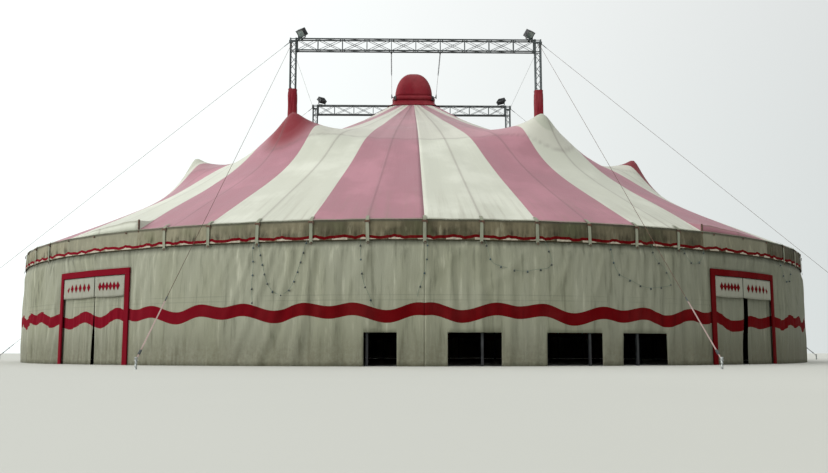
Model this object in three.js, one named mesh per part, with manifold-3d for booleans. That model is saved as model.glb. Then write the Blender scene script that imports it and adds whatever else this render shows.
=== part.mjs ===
// A round circus big top: a striped canopy on a ring of side poles, eight quarter poles and four
// lattice masts, with two goal-post truss arches that carry the hoisted cupola.
// Millimetres, +Z up. The origin is at ground level in the middle of the ring; the front faces -Y.
import * as THREE from "three";
import { mergeVertices } from "three/addons/utils/BufferGeometryUtils.js";
import Module from "manifold-3d";

const wasm = await Module();
wasm.setup();

// Driving dimensions
const TENT_RADIUS = 15000;
const FACETS = 64;
const FACET_DEG = 360 / FACETS;
const SEAT_GAP = 0.4;

const EAVE_TOP = 3740;
const VALANCE_FOOT = 3200;
const VALANCE_THICKNESS = 20;
const WALL_OUTER = 14960;
const WALL_THICKNESS = 30;

const CANOPY_THICKNESS = 30;
const COLLAR_RADIUS = 1000;
const COLLAR_TOP = 10650;
const FRONT_CROWN = 360;
const SIDE_SAG = 530;
const FRONT_PEAK = { azimuth: 5 * FACET_DEG, radius: 9050, rise: 1780 };
const SIDE_PEAK = { azimuth: 11 * FACET_DEG, radius: 9400, rise: 1430 };
const PEAK_WIDTH = 1370;
const PEAK_INNER_REACH = 1220;
const PEAK_OUTER_REACH = 860;
const PEAK_ROUNDING = 0.13;

const MAST_OFFSET = 4660;
const MAST_WIDTH = 260;
const TUBE = 50;
const LACING = 24;
const TRUSS_TOP = 12200;
const TRUSS_FOOT = 11700;
const TRUSS_PANELS = 10;
const MAST_BAYS = 8;

const SLEEVE_WIDTH = 340;
const SLEEVE_TOP = 10200;
const SLEEVE_WALL = 28;

const CUPOLA_HEM = 1030;
const CUPOLA_NECK = 850;
const CUPOLA_NECK_Z = 10910;
const CUPOLA_RING = 880;
const CUPOLA_RING_TOP = 11130;
const DOME_HALF = 790;
const DOME_TOP = 12280;

const DOOR_FROM_DEG = 33.2;
const DOOR_TO_DEG = 46.6;
const DOOR_HEIGHT = 2640;
const DOOR_FRAME_WIDTH_DEG = 0.65;
const DOOR_FRAME_HEIGHT = 180;
const DOOR_FRAME_DEPTH = 40;
const BANNER_FOOT = 1830;
const CURTAIN_SPLIT_DEG = 39.4;

const VENT_HEIGHT = 850;
const VENTS_DEG = [
  [-5.9, -2.7],
  [2.2, 7.5],
  [12.1, 18.1],
  [20.5, 26.0],
];

const SIDE_POLE = 60;
const EAVE_RAIL = 40;
const QUARTER_POLE = 100;

const STAY_DIAMETER = 24;
const STAY_TOP = 12060;
const SIDE_ANCHOR = 19100;
const FRONT_ANCHOR = { x: 6100, y: 18900 };
const STAKE = 60;
const STAKE_HEIGHT = 260;

const HOIST_DIAMETER = 20;

const FLOODLIGHT_INSET = 315;
const FLOODLIGHT = { width: 380, depth: 190, height: 300 };
const FLOODLIGHT_TILT_DEG = 40;
const FLOODLIGHT_PIVOT = 12440;

const COLOURS = {
  canopy: "#b98a93",
  darkRed: "#7c1c28",
  red: "#7a0c1a",
  fabric: "#9a9a8a",
  valance: "#8a8470",
  steel: "#50585a",
  black: "#1c1d1f",
  white: "#d8d6cc",
};

const bigTop = new THREE.Group();

// Geometry helpers

const radians = THREE.MathUtils.degToRad;

// A point of the 64-sided ring: azimuth 0 is the front (-Y), 90 is +X, and radius is the one at
// the ring's corners, so that all rings have parallel flats.
function ringPoint(azimuthDeg, radius, z) {
  const facet = Math.floor(azimuthDeg / FACET_DEG + 1e-9);
  const middle = (facet + 0.5) * FACET_DEG;
  const onFlat = (radius * Math.cos(radians(FACET_DEG / 2))) / Math.cos(radians(azimuthDeg - middle));
  const a = radians(azimuthDeg);
  return new THREE.Vector3(onFlat * Math.sin(a), -onFlat * Math.cos(a), z);
}

function ringStops(fromDeg, toDeg) {
  const stops = [fromDeg];
  for (let k = Math.ceil(fromDeg / FACET_DEG + 1e-6); k * FACET_DEG < toDeg - 1e-6; k++)
    stops.push(k * FACET_DEG);
  stops.push(toDeg);
  return stops;
}

function facesToGeometry(points, faces) {
  const geometry = new THREE.BufferGeometry();
  geometry.setAttribute(
    "position",
    new THREE.Float32BufferAttribute(points.flatMap((p) => [p.x, p.y, p.z]), 3),
  );
  geometry.setIndex(faces.flat());
  return geometry;
}

// A closed profile of [radius, z] pairs swept along the ring between two azimuths.
function ringSolid(fromDeg, toDeg, profile) {
  const stops = ringStops(fromDeg, toDeg);
  const n = profile.length;
  const points = stops.flatMap((a) => profile.map(([r, z]) => ringPoint(a, r, z)));
  const faces = [];
  for (let i = 0; i < stops.length - 1; i++)
    for (let j = 0; j < n; j++) {
      const a = i * n + j;
      const b = i * n + ((j + 1) % n);
      faces.push([a, a + n, b + n], [a, b + n, b]);
    }
  const cap = THREE.ShapeUtils.triangulateShape(
    profile.map(([r, z]) => new THREE.Vector2(r, z)),
    [],
  );
  const last = (stops.length - 1) * n;
  for (const [a, b, c] of cap) {
    faces.push([a, b, c]);
    faces.push([last + a, last + c, last + b]);
  }
  return facesToGeometry(points, faces);
}

function rectangle(r0, r1, z0, z1) {
  return [
    [r0, z0],
    [r1, z0],
    [r1, z1],
    [r0, z1],
  ];
}

// A closed slab between two grids of points; rows run outwards and columns run round.
function gridSlab(top, bottom) {
  const rows = top.length;
  const columns = top[0].length;
  const points = [...top.flat(), ...bottom.flat()];
  const under = rows * columns;
  const faces = [];
  const at = (i, j) => i * columns + j;
  for (let i = 0; i < rows - 1; i++)
    for (let j = 0; j < columns - 1; j++) {
      const [a, b, c, d] = [at(i, j), at(i + 1, j), at(i + 1, j + 1), at(i, j + 1)];
      faces.push([a, b, c], [a, c, d]);
      faces.push([under + a, under + c, under + b], [under + a, under + d, under + c]);
    }
  const rim = [];
  for (let i = 0; i < rows - 1; i++) rim.push(at(i, 0));
  for (let j = 0; j < columns - 1; j++) rim.push(at(rows - 1, j));
  for (let i = rows - 1; i > 0; i--) rim.push(at(i, columns - 1));
  for (let j = columns - 1; j > 0; j--) rim.push(at(0, j));
  rim.forEach((a, k) => {
    const b = rim[(k + 1) % rim.length];
    faces.push([a, under + a, under + b], [a, under + b, b]);
  });
  return facesToGeometry(points, faces);
}

function box(width, depth, height, x, y, z) {
  return new THREE.BoxGeometry(width, depth, height).translate(x, y, z);
}

// A square bar between two points.
function bar(from, to, width, depth = width) {
  const along = new THREE.Vector3().subVectors(to, from);
  const geometry = new THREE.BoxGeometry(width, along.length(), depth);
  const turn = new THREE.Quaternion().setFromUnitVectors(
    new THREE.Vector3(0, 1, 0),
    along.clone().normalize(),
  );
  const middle = new THREE.Vector3().addVectors(from, to).multiplyScalar(0.5);
  return geometry.applyQuaternion(turn).translate(middle.x, middle.y, middle.z);
}

// A round bar of few sides between two points.
function rod(from, to, diameter, sides = 6) {
  const along = new THREE.Vector3().subVectors(to, from);
  const geometry = new THREE.CylinderGeometry(diameter / 2, diameter / 2, along.length(), sides);
  const turn = new THREE.Quaternion().setFromUnitVectors(
    new THREE.Vector3(0, 1, 0),
    along.clone().normalize(),
  );
  const middle = new THREE.Vector3().addVectors(from, to).multiplyScalar(0.5);
  return geometry.applyQuaternion(turn).translate(middle.x, middle.y, middle.z);
}

function solid(geometry) {
  const bare = geometry.index ? geometry.toNonIndexed() : geometry.clone();
  bare.deleteAttribute("normal");
  bare.deleteAttribute("uv");
  const merged = mergeVertices(bare, 1e-3);
  const triVerts = new Uint32Array(merged.index.array);
  const make = (corners) =>
    new wasm.Manifold(
      new wasm.Mesh({
        numProp: 3,
        vertProperties: merged.attributes.position.array,
        triVerts: corners,
      }),
    );
  const made = make(triVerts);
  if (made.volume() > 0) return made;
  for (let i = 0; i < triVerts.length; i += 3)
    [triVerts[i + 1], triVerts[i + 2]] = [triVerts[i + 2], triVerts[i + 1]];
  return make(triVerts);
}

function geometryOf(manifold) {
  const mesh = manifold.getMesh();
  const positions = [];
  for (let i = 0; i < mesh.vertProperties.length; i += mesh.numProp)
    positions.push(...mesh.vertProperties.slice(i, i + 3));
  const geometry = new THREE.BufferGeometry();
  geometry.setAttribute("position", new THREE.Float32BufferAttribute(positions, 3));
  geometry.setIndex(Array.from(mesh.triVerts));
  return geometry;
}

function join(geometries) {
  return geometries.map(solid).reduce((whole, next) => whole.add(next));
}

// Adds a piece to the tent as a named mesh with a material of its own.
function addPiece(name, shape, colour, roughness, metalness = 0, parent = bigTop) {
  const geometry = shape.isBufferGeometry ? shape : geometryOf(shape);
  const material = new THREE.MeshStandardMaterial({ color: colour, roughness, metalness });
  const mesh = new THREE.Mesh(geometry, material);
  mesh.name = name;
  parent.add(mesh);
  return mesh;
}

const CORNERS = [
  { name: "front_right", x: 1, y: -1, fromDeg: 0 },
  { name: "rear_right", x: 1, y: 1, fromDeg: 90 },
  { name: "rear_left", x: -1, y: 1, fromDeg: 180 },
  { name: "front_left", x: -1, y: -1, fromDeg: 270 },
];

// Canopy: a cone from the cupola's collar to the eave, a little crowned at the front and rear and
// sagging at the sides, lifted to a blunt peak by each quarter pole.

const PEAKS = [FRONT_PEAK, SIDE_PEAK]
  .flatMap((peak) => [peak, { ...peak, azimuth: 180 - peak.azimuth }])
  .flatMap((peak) => [peak, { ...peak, azimuth: 360 - peak.azimuth }])
  .sort((a, b) => a.azimuth - b.azimuth);

const CANOPY_RADII = [
  COLLAR_RADIUS,
  2800,
  4600,
  6000,
  7200,
  8200,
  FRONT_PEAK.radius,
  SIDE_PEAK.radius,
  10100,
  11300,
  13000,
  TENT_RADIUS,
];

function canopyHeight(radius, azimuthDeg) {
  const outward = (radius - COLLAR_RADIUS) / (TENT_RADIUS - COLLAR_RADIUS);
  const sideways = (1 - Math.cos(radians(2 * azimuthDeg))) / 2;
  const crown = FRONT_CROWN * (1 - sideways) - SIDE_SAG * sideways;
  let z = COLLAR_TOP + (EAVE_TOP - COLLAR_TOP) * outward + crown * Math.sin(Math.PI * outward);
  for (const peak of PEAKS) {
    const turn = radians(azimuthDeg - peak.azimuth);
    const across = radius * Math.sin(turn);
    const along = radius * Math.cos(turn) - peak.radius;
    const reach = along < 0 ? PEAK_INNER_REACH : PEAK_OUTER_REACH;
    const fade = Math.min(1, (TENT_RADIUS - radius) / (TENT_RADIUS - peak.radius));
    const away = Math.hypot(across / PEAK_WIDTH, along / reach, PEAK_ROUNDING);
    z += peak.rise * fade * Math.exp(-away);
  }
  return z;
}

// The canopy's underside above a side pole's azimuth, on the flat between the last two grid rows.
function eaveUnderside(radius, azimuthDeg) {
  const inner = CANOPY_RADII.at(-2);
  const share = (TENT_RADIUS - radius) / (TENT_RADIUS - inner);
  const rise = canopyHeight(inner, azimuthDeg) - EAVE_TOP;
  return EAVE_TOP + share * rise - CANOPY_THICKNESS;
}

function canopyGrid(fromDeg, toDeg, lift) {
  const stops = ringStops(fromDeg, toDeg);
  return CANOPY_RADII.map((radius) =>
    stops.map((azimuth) => {
      const z = canopyHeight(radius, Math.round(azimuth / FACET_DEG) * FACET_DEG);
      return ringPoint(azimuth, radius, z + lift);
    }),
  );
}

const LACED_EDGE_DEG = 0.001;
const MAST_HOLE = MAST_WIDTH + 20;

for (const corner of CORNERS) {
  const from = corner.fromDeg + LACED_EDGE_DEG;
  const to = corner.fromDeg + 90 - LACED_EDGE_DEG;
  const sheet = gridSlab(canopyGrid(from, to, 0), canopyGrid(from, to, -CANOPY_THICKNESS));
  const [x, y] = [corner.x * MAST_OFFSET, corner.y * MAST_OFFSET];
  const cutter = box(MAST_HOLE, MAST_HOLE, SLEEVE_TOP, x, y, SLEEVE_TOP / 2 + EAVE_TOP);
  addPiece(`canopy_${corner.name}`, solid(sheet).subtract(solid(cutter)), COLOURS.canopy, 0.7);
}

// Masts: square lattice towers of four tubes, rungs and a foot plate.

const LEG_OFFSET = (MAST_WIDTH - TUBE) / 2;
const FOOT_PLATE = { width: 500, thickness: 30 };
const HEAD_MARGIN = 100;

function mastShape(x, y) {
  const { width, thickness } = FOOT_PLATE;
  const bars = [box(width, width, thickness, x, y, thickness / 2)];
  const leg = TRUSS_TOP - thickness / 2;
  for (const sx of [-1, 1])
    for (const sy of [-1, 1])
      bars.push(box(TUBE, TUBE, leg, x + sx * LEG_OFFSET, y + sy * LEG_OFFSET, TRUSS_TOP - leg / 2));
  const bay = (TRUSS_TOP - 2 * HEAD_MARGIN) / MAST_BAYS;
  for (let k = 1; k <= MAST_BAYS; k++) {
    const z = HEAD_MARGIN + k * bay;
    for (const s of [-1, 1]) {
      bars.push(box(MAST_WIDTH - TUBE, LACING, LACING, x, y + s * LEG_OFFSET, z));
      bars.push(box(LACING, MAST_WIDTH - TUBE, LACING, x + s * LEG_OFFSET, y, z));
    }
  }
  return join(bars);
}

for (const corner of CORNERS)
  addPiece(
    `mast_${corner.name}`,
    mastShape(corner.x * MAST_OFFSET, corner.y * MAST_OFFSET),
    COLOURS.steel,
    0.5,
    0.6,
  );

// Arches: a box truss of ten panels between the heads of two masts.

const TRUSS_HALF = MAST_OFFSET - MAST_WIDTH / 2 - SEAT_GAP;
const PANEL = (2 * MAST_OFFSET) / TRUSS_PANELS;

function trussShape(y) {
  const top = TRUSS_TOP - TUBE / 2;
  const foot = TRUSS_FOOT + TUBE / 2;
  const stations = [-TRUSS_HALF + TUBE / 2];
  for (let k = 1; k < TRUSS_PANELS; k++) stations.push(-MAST_OFFSET + k * PANEL);
  stations.push(TRUSS_HALF - TUBE / 2);
  const bars = [];
  for (const s of [-1, 1])
    for (const z of [top, foot]) bars.push(box(2 * TRUSS_HALF, TUBE, TUBE, 0, y + s * LEG_OFFSET, z));
  stations.forEach((x, k) => {
    for (const s of [-1, 1])
      bars.push(box(LACING, LACING, top - foot, x, y + s * LEG_OFFSET, (top + foot) / 2));
    for (const z of [top, foot]) bars.push(box(LACING, 2 * LEG_OFFSET, LACING, x, y, z));
    if (k === 0) return;
    for (const s of [-1, 1]) {
      const rising = k % 2 === 1;
      const from = new THREE.Vector3(stations[k - 1], y + s * LEG_OFFSET, rising ? foot : top);
      const to = new THREE.Vector3(x, y + s * LEG_OFFSET, rising ? top : foot);
      bars.push(bar(from, to, LACING));
    }
  });
  return join(bars);
}

addPiece("arch_truss_front", trussShape(-MAST_OFFSET), COLOURS.steel, 0.5, 0.6);
addPiece("arch_truss_rear", trussShape(MAST_OFFSET), COLOURS.steel, 0.5, 0.6);

// Mast sleeves: fabric boots that stand on the canopy and are tied to the mast at the top.

const SLEEVE_FOOT = 7600;
const SLEEVE_TIE = 80;

for (const corner of CORNERS) {
  const x = corner.x * MAST_OFFSET;
  const y = corner.y * MAST_OFFSET;
  const height = SLEEVE_TOP - SLEEVE_FOOT;
  const middle = SLEEVE_FOOT + height / 2;
  const inside = SLEEVE_WIDTH - 2 * SLEEVE_WALL;
  const outer = solid(box(SLEEVE_WIDTH, SLEEVE_WIDTH, height, x, y, middle));
  const hollow = solid(box(inside, inside, height, x, y, middle - SLEEVE_TIE));
  const neck = solid(
    box(MAST_WIDTH + 2 * SEAT_GAP, MAST_WIDTH + 2 * SEAT_GAP, 2 * height, x, y, SLEEVE_TOP),
  );
  const from = corner.fromDeg;
  const roof = canopyGrid(from, from + 90, SEAT_GAP);
  const ground = roof.map((row) => row.map((p) => new THREE.Vector3(p.x, p.y, 0)));
  const underRoof = solid(gridSlab(roof, ground));
  const sleeve = outer.subtract(hollow).subtract(neck).subtract(underRoof);
  addPiece(`mast_sleeve_${corner.name}`, sleeve, COLOURS.darkRed, 0.75);
}

// Cupola: a collar that the canopy is laced to with a flared skirt over it, a ring, a dome and the
// hoist cables. Seen from above, all but the collar's lacing are rounded squares.

function lathe(profile, sides) {
  const points = [...profile, profile[0]].map(([r, z]) => new THREE.Vector2(r, z));
  return new THREE.LatheGeometry(points, sides).rotateX(Math.PI / 2);
}

const SQUARENESS = 6;

// A lathed shape whose circles become rounded squares with the radius as their half width.
function squareLathe(profile, sides) {
  const geometry = lathe(profile, sides);
  const position = geometry.attributes.position;
  for (let i = 0; i < position.count; i++) {
    const [x, y] = [position.getX(i), position.getY(i)];
    const reach = Math.hypot(x, y);
    if (reach === 0) continue;
    const powers = Math.abs(x) ** SQUARENESS + Math.abs(y) ** SQUARENESS;
    const stretch = reach / powers ** (1 / SQUARENESS);
    position.setXY(i, x * stretch, y * stretch);
  }
  return geometry;
}

const COLLAR_SIDES = 32;
const COLLAR_DROP = 60;
const COLLAR_RISE = 30;
const COLLAR_FACE = COLLAR_RADIUS - 1.5 * SEAT_GAP;
const COLLAR_SHELL = 50;
const HEM_CLEARANCE = 10;
const HEM_Z = COLLAR_TOP + HEM_CLEARANCE;

const lacing = lathe(
  rectangle(
    COLLAR_FACE - COLLAR_SHELL,
    COLLAR_FACE,
    COLLAR_TOP - COLLAR_DROP,
    COLLAR_TOP + COLLAR_RISE,
  ),
  COLLAR_SIDES,
);
const skirt = squareLathe(
  [
    [CUPOLA_HEM - COLLAR_SHELL, HEM_Z],
    [CUPOLA_HEM, HEM_Z],
    [CUPOLA_NECK, CUPOLA_NECK_Z],
    [CUPOLA_NECK - COLLAR_SHELL, CUPOLA_NECK_Z],
  ],
  COLLAR_SIDES,
);
addPiece("cupola_collar", join([lacing, skirt]), COLOURS.darkRed, 0.7);

const RING_FOOT = CUPOLA_NECK_Z + SEAT_GAP;
const RING_BULGE_RISE = 100;
const RING_BULGE_Z = RING_FOOT + RING_BULGE_RISE;
const DOME_SEAT = 20;
const DOME_WALL = 30;

addPiece(
  "cupola_ring",
  solid(
    squareLathe(
      [
        [CUPOLA_NECK - COLLAR_SHELL, RING_FOOT],
        [CUPOLA_NECK, RING_FOOT],
        [CUPOLA_RING, RING_BULGE_Z],
        [DOME_HALF + DOME_SEAT, CUPOLA_RING_TOP],
        [DOME_HALF - DOME_WALL, CUPOLA_RING_TOP],
        [CUPOLA_RING - COLLAR_SHELL, RING_BULGE_Z],
      ],
      COLLAR_SIDES,
    ),
  ),
  COLOURS.darkRed,
  0.6,
);

const DOME_FOOT = CUPOLA_RING_TOP + SEAT_GAP;
const DOME_STEPS = 7;
const DOME_SIDES = 24;

// Half an arch of points from the dome's edge up to its crown.
function domeArc(radius, height) {
  return Array.from({ length: DOME_STEPS + 1 }, (_, k) => {
    const a = (k / DOME_STEPS) * (Math.PI / 2);
    const r = k === DOME_STEPS ? 0 : radius * Math.cos(a);
    return [r, DOME_FOOT + height * Math.sin(a)];
  });
}

const domeHeight = DOME_TOP - DOME_FOOT;
const domeProfile = [
  ...domeArc(DOME_HALF, domeHeight),
  ...domeArc(DOME_HALF - DOME_WALL, domeHeight - DOME_WALL).reverse(),
];
addPiece("cupola_dome", solid(squareLathe(domeProfile, DOME_SIDES)), COLOURS.darkRed, 0.55);

// The hoist rig: a steel band round the cupola's ring, a claw out from each of its corners and the
// cables from the claws to the arches.

const BAND_HEIGHT = 30;
const BAND_DEPTH = 14;
const BAND_INNER = CUPOLA_RING + SEAT_GAP;
const CLAW = { width: 50, height: 150, arm: 36 };
const HANGER = { width: 60, height: 40 };

function hoistRig() {
  const low = RING_BULGE_Z - BAND_HEIGHT / 2;
  const high = RING_BULGE_Z + BAND_HEIGHT / 2;
  const bandFace = rectangle(BAND_INNER, BAND_INNER + BAND_DEPTH, low, high);
  const pieces = [squareLathe(bandFace, COLLAR_SIDES)];
  const bandCorner = (BAND_INNER + SEAT_GAP) * 2 ** (-1 / SQUARENESS);
  for (const sx of [-1, 1])
    for (const sy of [-1, 1]) {
      const root = new THREE.Vector3(sx * bandCorner, sy * bandCorner, RING_BULGE_Z);
      const claw = new THREE.Vector3(sx * PANEL, sy * PANEL, RING_BULGE_Z);
      const hang = new THREE.Vector3(
        sx * PANEL,
        sy * (MAST_OFFSET - LEG_OFFSET),
        TRUSS_FOOT - SEAT_GAP - HANGER.height / 2,
      );
      pieces.push(rod(claw, hang, HOIST_DIAMETER));
      pieces.push(box(HANGER.width, HANGER.width, HANGER.height, hang.x, hang.y, hang.z));
      pieces.push(bar(root, claw, CLAW.arm));
      pieces.push(box(CLAW.width, CLAW.width, CLAW.height, claw.x, claw.y, claw.z));
    }
  return join(pieces);
}

addPiece("cupola_hoist_rig", hoistRig(), COLOURS.black, 0.5, 0.6);

// Side wall: four quarters of gathered fabric with two doorways and four vents cut through.

const wallTop =
  Math.min(...Array.from({ length: FACETS }, (_, k) => eaveUnderside(WALL_OUTER, k * FACET_DEG))) -
  SEAT_GAP;
const WALL_INNER = WALL_OUTER - WALL_THICKNESS;

const CUTTER_MARGIN = 100;

// A cutter through the wall, and through what hangs on it, from the ground up to a height.
function throughWall(fromDeg, toDeg, top) {
  const [inner, outer] = [WALL_INNER - CUTTER_MARGIN, WALL_OUTER + CUTTER_MARGIN];
  return solid(ringSolid(fromDeg, toDeg, rectangle(inner, outer, -CUTTER_MARGIN, top)));
}

const DOORWAYS_DEG = [
  [DOOR_FROM_DEG, DOOR_TO_DEG],
  [360 - DOOR_TO_DEG, 360 - DOOR_FROM_DEG],
];

for (const corner of CORNERS) {
  const from = corner.fromDeg + LACED_EDGE_DEG;
  const to = corner.fromDeg + 90 - LACED_EDGE_DEG;
  let wall = solid(ringSolid(from, to, rectangle(WALL_INNER, WALL_OUTER, 0, wallTop)));
  for (const [a, b] of DOORWAYS_DEG) wall = wall.subtract(throughWall(a, b, DOOR_HEIGHT));
  for (const [a, b] of VENTS_DEG) {
    const turn = a < 0 ? 360 : 0;
    wall = wall.subtract(throughWall(a + turn, b + turn, VENT_HEIGHT));
  }
  addPiece(`side_wall_${corner.name}`, wall, COLOURS.fabric, 0.85);

  const valance = rectangle(
    TENT_RADIUS - VALANCE_THICKNESS,
    TENT_RADIUS,
    VALANCE_FOOT,
    EAVE_TOP - CANOPY_THICKNESS - SEAT_GAP,
  );
  addPiece(`valance_${corner.name}`, ringSolid(from, to, valance), COLOURS.valance, 0.85);
}

// Side poles: a post under the eave at every corner of the ring, joined by the eave rail. The
// doorways are kept clear.

const poleOffset = Math.tan(radians(FACET_DEG / 2)) * (SIDE_POLE / 2);
const POLE_RADIUS = WALL_INNER - poleOffset - SEAT_GAP - SIDE_POLE / 2;
const RAIL_TOP = 3560;

// The lowest point of the canopy's underside over a pole's head.
function overPole(azimuth) {
  const edge = POLE_RADIUS + SIDE_POLE / 2 + poleOffset;
  return Math.min(...[-1, 0, 1].map((k) => eaveUnderside(edge, azimuth + k * FACET_DEG)));
}

for (const corner of CORNERS) {
  const rail = rectangle(
    POLE_RADIUS - EAVE_RAIL / 2,
    POLE_RADIUS + EAVE_RAIL / 2,
    RAIL_TOP - EAVE_RAIL,
    RAIL_TOP,
  );
  const last = corner.fromDeg + 90 - FACET_DEG;
  const pieces = [ringSolid(corner.fromDeg, last, rail)];
  for (let azimuth = corner.fromDeg; azimuth <= last; azimuth += FACET_DEG) {
    if (DOORWAYS_DEG.some(([a, b]) => azimuth > a - 1 && azimuth < b + 1)) continue;
    const top = overPole(azimuth) - SEAT_GAP;
    const post = box(SIDE_POLE, SIDE_POLE, top, 0, -POLE_RADIUS, top / 2);
    pieces.push(post.rotateZ(radians(azimuth)));
  }
  addPiece(`side_poles_${corner.name}`, join(pieces), COLOURS.steel, 0.5, 0.6);
}

// Quarter poles: eight posts with a foot plate and a spike that lift the canopy's peaks.

const SPIKE = 160;
const FOOT_DISC = 20;
const POLE_SIDES = 8;

PEAKS.forEach((peak, k) => {
  const tip = canopyHeight(peak.radius, peak.azimuth) - CANOPY_THICKNESS - SEAT_GAP;
  const at = ringPoint(peak.azimuth, peak.radius, 0);
  const profile = [
    [0, 0],
    [QUARTER_POLE, 0],
    [QUARTER_POLE, FOOT_DISC],
    [QUARTER_POLE / 2, FOOT_DISC],
    [QUARTER_POLE / 2, tip - SPIKE],
    [0, tip],
  ].map(([r, z]) => new THREE.Vector2(r, z));
  const pole = new THREE.LatheGeometry(profile, POLE_SIDES).rotateX(Math.PI / 2);
  addPiece(`quarter_pole_${k + 1}`, solid(pole.translate(at.x, at.y, 0)), COLOURS.steel, 0.5, 0.6);
});

// Entrances: a frame on the wall's outer face, a blank banner in it and two curtains behind.

const FRAME_BACK = WALL_OUTER + SEAT_GAP;
const FRAME_FRONT = FRAME_BACK + DOOR_FRAME_DEPTH;
const FRAME_LAP_DEG = 0.1;
const frameFrom = DOOR_FROM_DEG - FRAME_LAP_DEG;
const frameTo = DOOR_TO_DEG + FRAME_LAP_DEG;
const HEADER_FOOT = 2530;
const CURTAIN_LAP_DEG = 0.5;
const CURTAIN_THICKNESS = 20;
const CURTAIN_TOP = DOOR_HEIGHT + 120;
const CURTAIN_GAP_DEG = 0.35;
const CURTAIN_HEM = 90;
const BANNER_SETBACK = 15;
const BANNER_THICKNESS = 15;

// Azimuths on either side of the front, measured away from the middle.
function sided(side, fromDeg, toDeg) {
  return side > 0 ? [fromDeg, toDeg] : [360 - toDeg, 360 - fromDeg];
}

for (const [name, side] of [
  ["right", 1],
  ["left", -1],
]) {
  const innerFrom = frameFrom + DOOR_FRAME_WIDTH_DEG;
  const innerTo = frameTo - DOOR_FRAME_WIDTH_DEG;
  const frameFace = rectangle(FRAME_BACK, FRAME_FRONT, 0, HEADER_FOOT + DOOR_FRAME_HEIGHT);
  const frame = solid(ringSolid(...sided(side, frameFrom, frameTo), frameFace)).subtract(
    throughWall(...sided(side, innerFrom, innerTo), HEADER_FOOT),
  );
  addPiece(`entrance_frame_${name}`, frame, COLOURS.red, 0.6);

  const bannerTop = HEADER_FOOT - SEAT_GAP;
  const bannerFace = FRAME_FRONT - BANNER_SETBACK;
  const banner = rectangle(bannerFace - BANNER_THICKNESS, bannerFace, BANNER_FOOT, bannerTop);
  const bannerEdges = sided(side, innerFrom + LACED_EDGE_DEG, innerTo - LACED_EDGE_DEG);
  addPiece(`entrance_banner_${name}`, ringSolid(...bannerEdges, banner), COLOURS.white, 0.7);

  const face = WALL_INNER - SEAT_GAP;
  const cloth = rectangle(face - CURTAIN_THICKNESS, face, 0, CURTAIN_TOP);
  const curtainsFrom = DOOR_FROM_DEG - CURTAIN_LAP_DEG;
  const curtainsTo = DOOR_TO_DEG + CURTAIN_LAP_DEG;
  const slitFrom = CURTAIN_SPLIT_DEG - CURTAIN_GAP_DEG;
  const slitTo = CURTAIN_SPLIT_DEG + CURTAIN_GAP_DEG;
  const curtains = solid(ringSolid(...sided(side, curtainsFrom, curtainsTo), cloth)).subtract(
    throughWall(...sided(side, slitFrom, slitTo), CURTAIN_TOP - CURTAIN_HEM),
  );
  addPiece(`entrance_curtains_${name}`, curtains, COLOURS.fabric, 0.85);
}

// Mast stays: from a bracket on each mast's head, one steel rope sideways and one to the front
// or rear, each down to its own stake, and a tie from the front mast's head to the rear one's.

const BRACKET = 20;
const BRACKET_HEIGHT = 90;
const TIE_END = { depth: 12, height: 60 };
const ANCHOR_Z = STAKE_HEIGHT - 60;
const mastFace = MAST_OFFSET + MAST_WIDTH / 2 + SEAT_GAP;

for (const { name, x: sx, y: sy } of CORNERS) {
  const reach = MAST_WIDTH + BRACKET;
  const middle = MAST_OFFSET + BRACKET / 2 + SEAT_GAP;
  const sideAnchor = new THREE.Vector3(sx * SIDE_ANCHOR, sy * MAST_OFFSET, ANCHOR_Z);
  const endAnchor = new THREE.Vector3(sx * FRONT_ANCHOR.x, sy * FRONT_ANCHOR.y, ANCHOR_Z);
  const sideHead = new THREE.Vector3(sx * (mastFace + BRACKET / 2), sy * MAST_OFFSET, STAY_TOP);
  const endHead = new THREE.Vector3(sx * MAST_OFFSET, sy * (mastFace + BRACKET / 2), STAY_TOP);
  const stake = ({ x, y }) => box(STAKE, STAKE, STAKE_HEIGHT, x, y, STAKE_HEIGHT / 2);
  const stays = join([
    box(BRACKET, reach, BRACKET_HEIGHT, sx * (mastFace + BRACKET / 2), sy * middle, STAY_TOP),
    box(reach, BRACKET, BRACKET_HEIGHT, sx * middle, sy * (mastFace + BRACKET / 2), STAY_TOP),
    rod(sideHead, sideAnchor, STAY_DIAMETER),
    rod(endHead, endAnchor, STAY_DIAMETER),
    stake(sideAnchor),
    stake(endAnchor),
  ]);
  addPiece(`mast_stays_${name}`, stays, COLOURS.steel, 0.45, 0.8);
}

for (const [name, sx] of [
  ["right", 1],
  ["left", -1],
]) {
  const x = sx * (MAST_OFFSET + LEG_OFFSET);
  const end = MAST_OFFSET - MAST_WIDTH / 2 - SEAT_GAP;
  const z = STAY_TOP;
  const eye = end - TIE_END.depth / 2;
  const tie = join([
    rod(new THREE.Vector3(x, -eye, z), new THREE.Vector3(x, eye, z), STAY_DIAMETER),
    box(TUBE, TIE_END.depth, TIE_END.height, x, -eye, z),
    box(TUBE, TIE_END.depth, TIE_END.height, x, eye, z),
  ]);
  addPiece(`mast_head_tie_${name}`, tie, COLOURS.steel, 0.45, 0.8);
}

// Floodlights: a bracket on the arch's top tubes, turned out diagonally, and a lamp head that tilts
// in its two ears.

const EAR_GAP = 8;
const EAR = 8;
const EAR_WIDTH = 50;
const EAR_HEAD = 30;
const SADDLE = { width: 80, thickness: 12 };
const PIVOT = { pin: 10, hole: 11, head: 6 };
const GLASS = { rim: 20, setback: 12 };
const PIVOT_SIDES = 12;

function pivotCylinder(radius, length) {
  return new THREE.CylinderGeometry(radius, radius, length, PIVOT_SIDES).rotateZ(Math.PI / 2);
}

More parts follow.
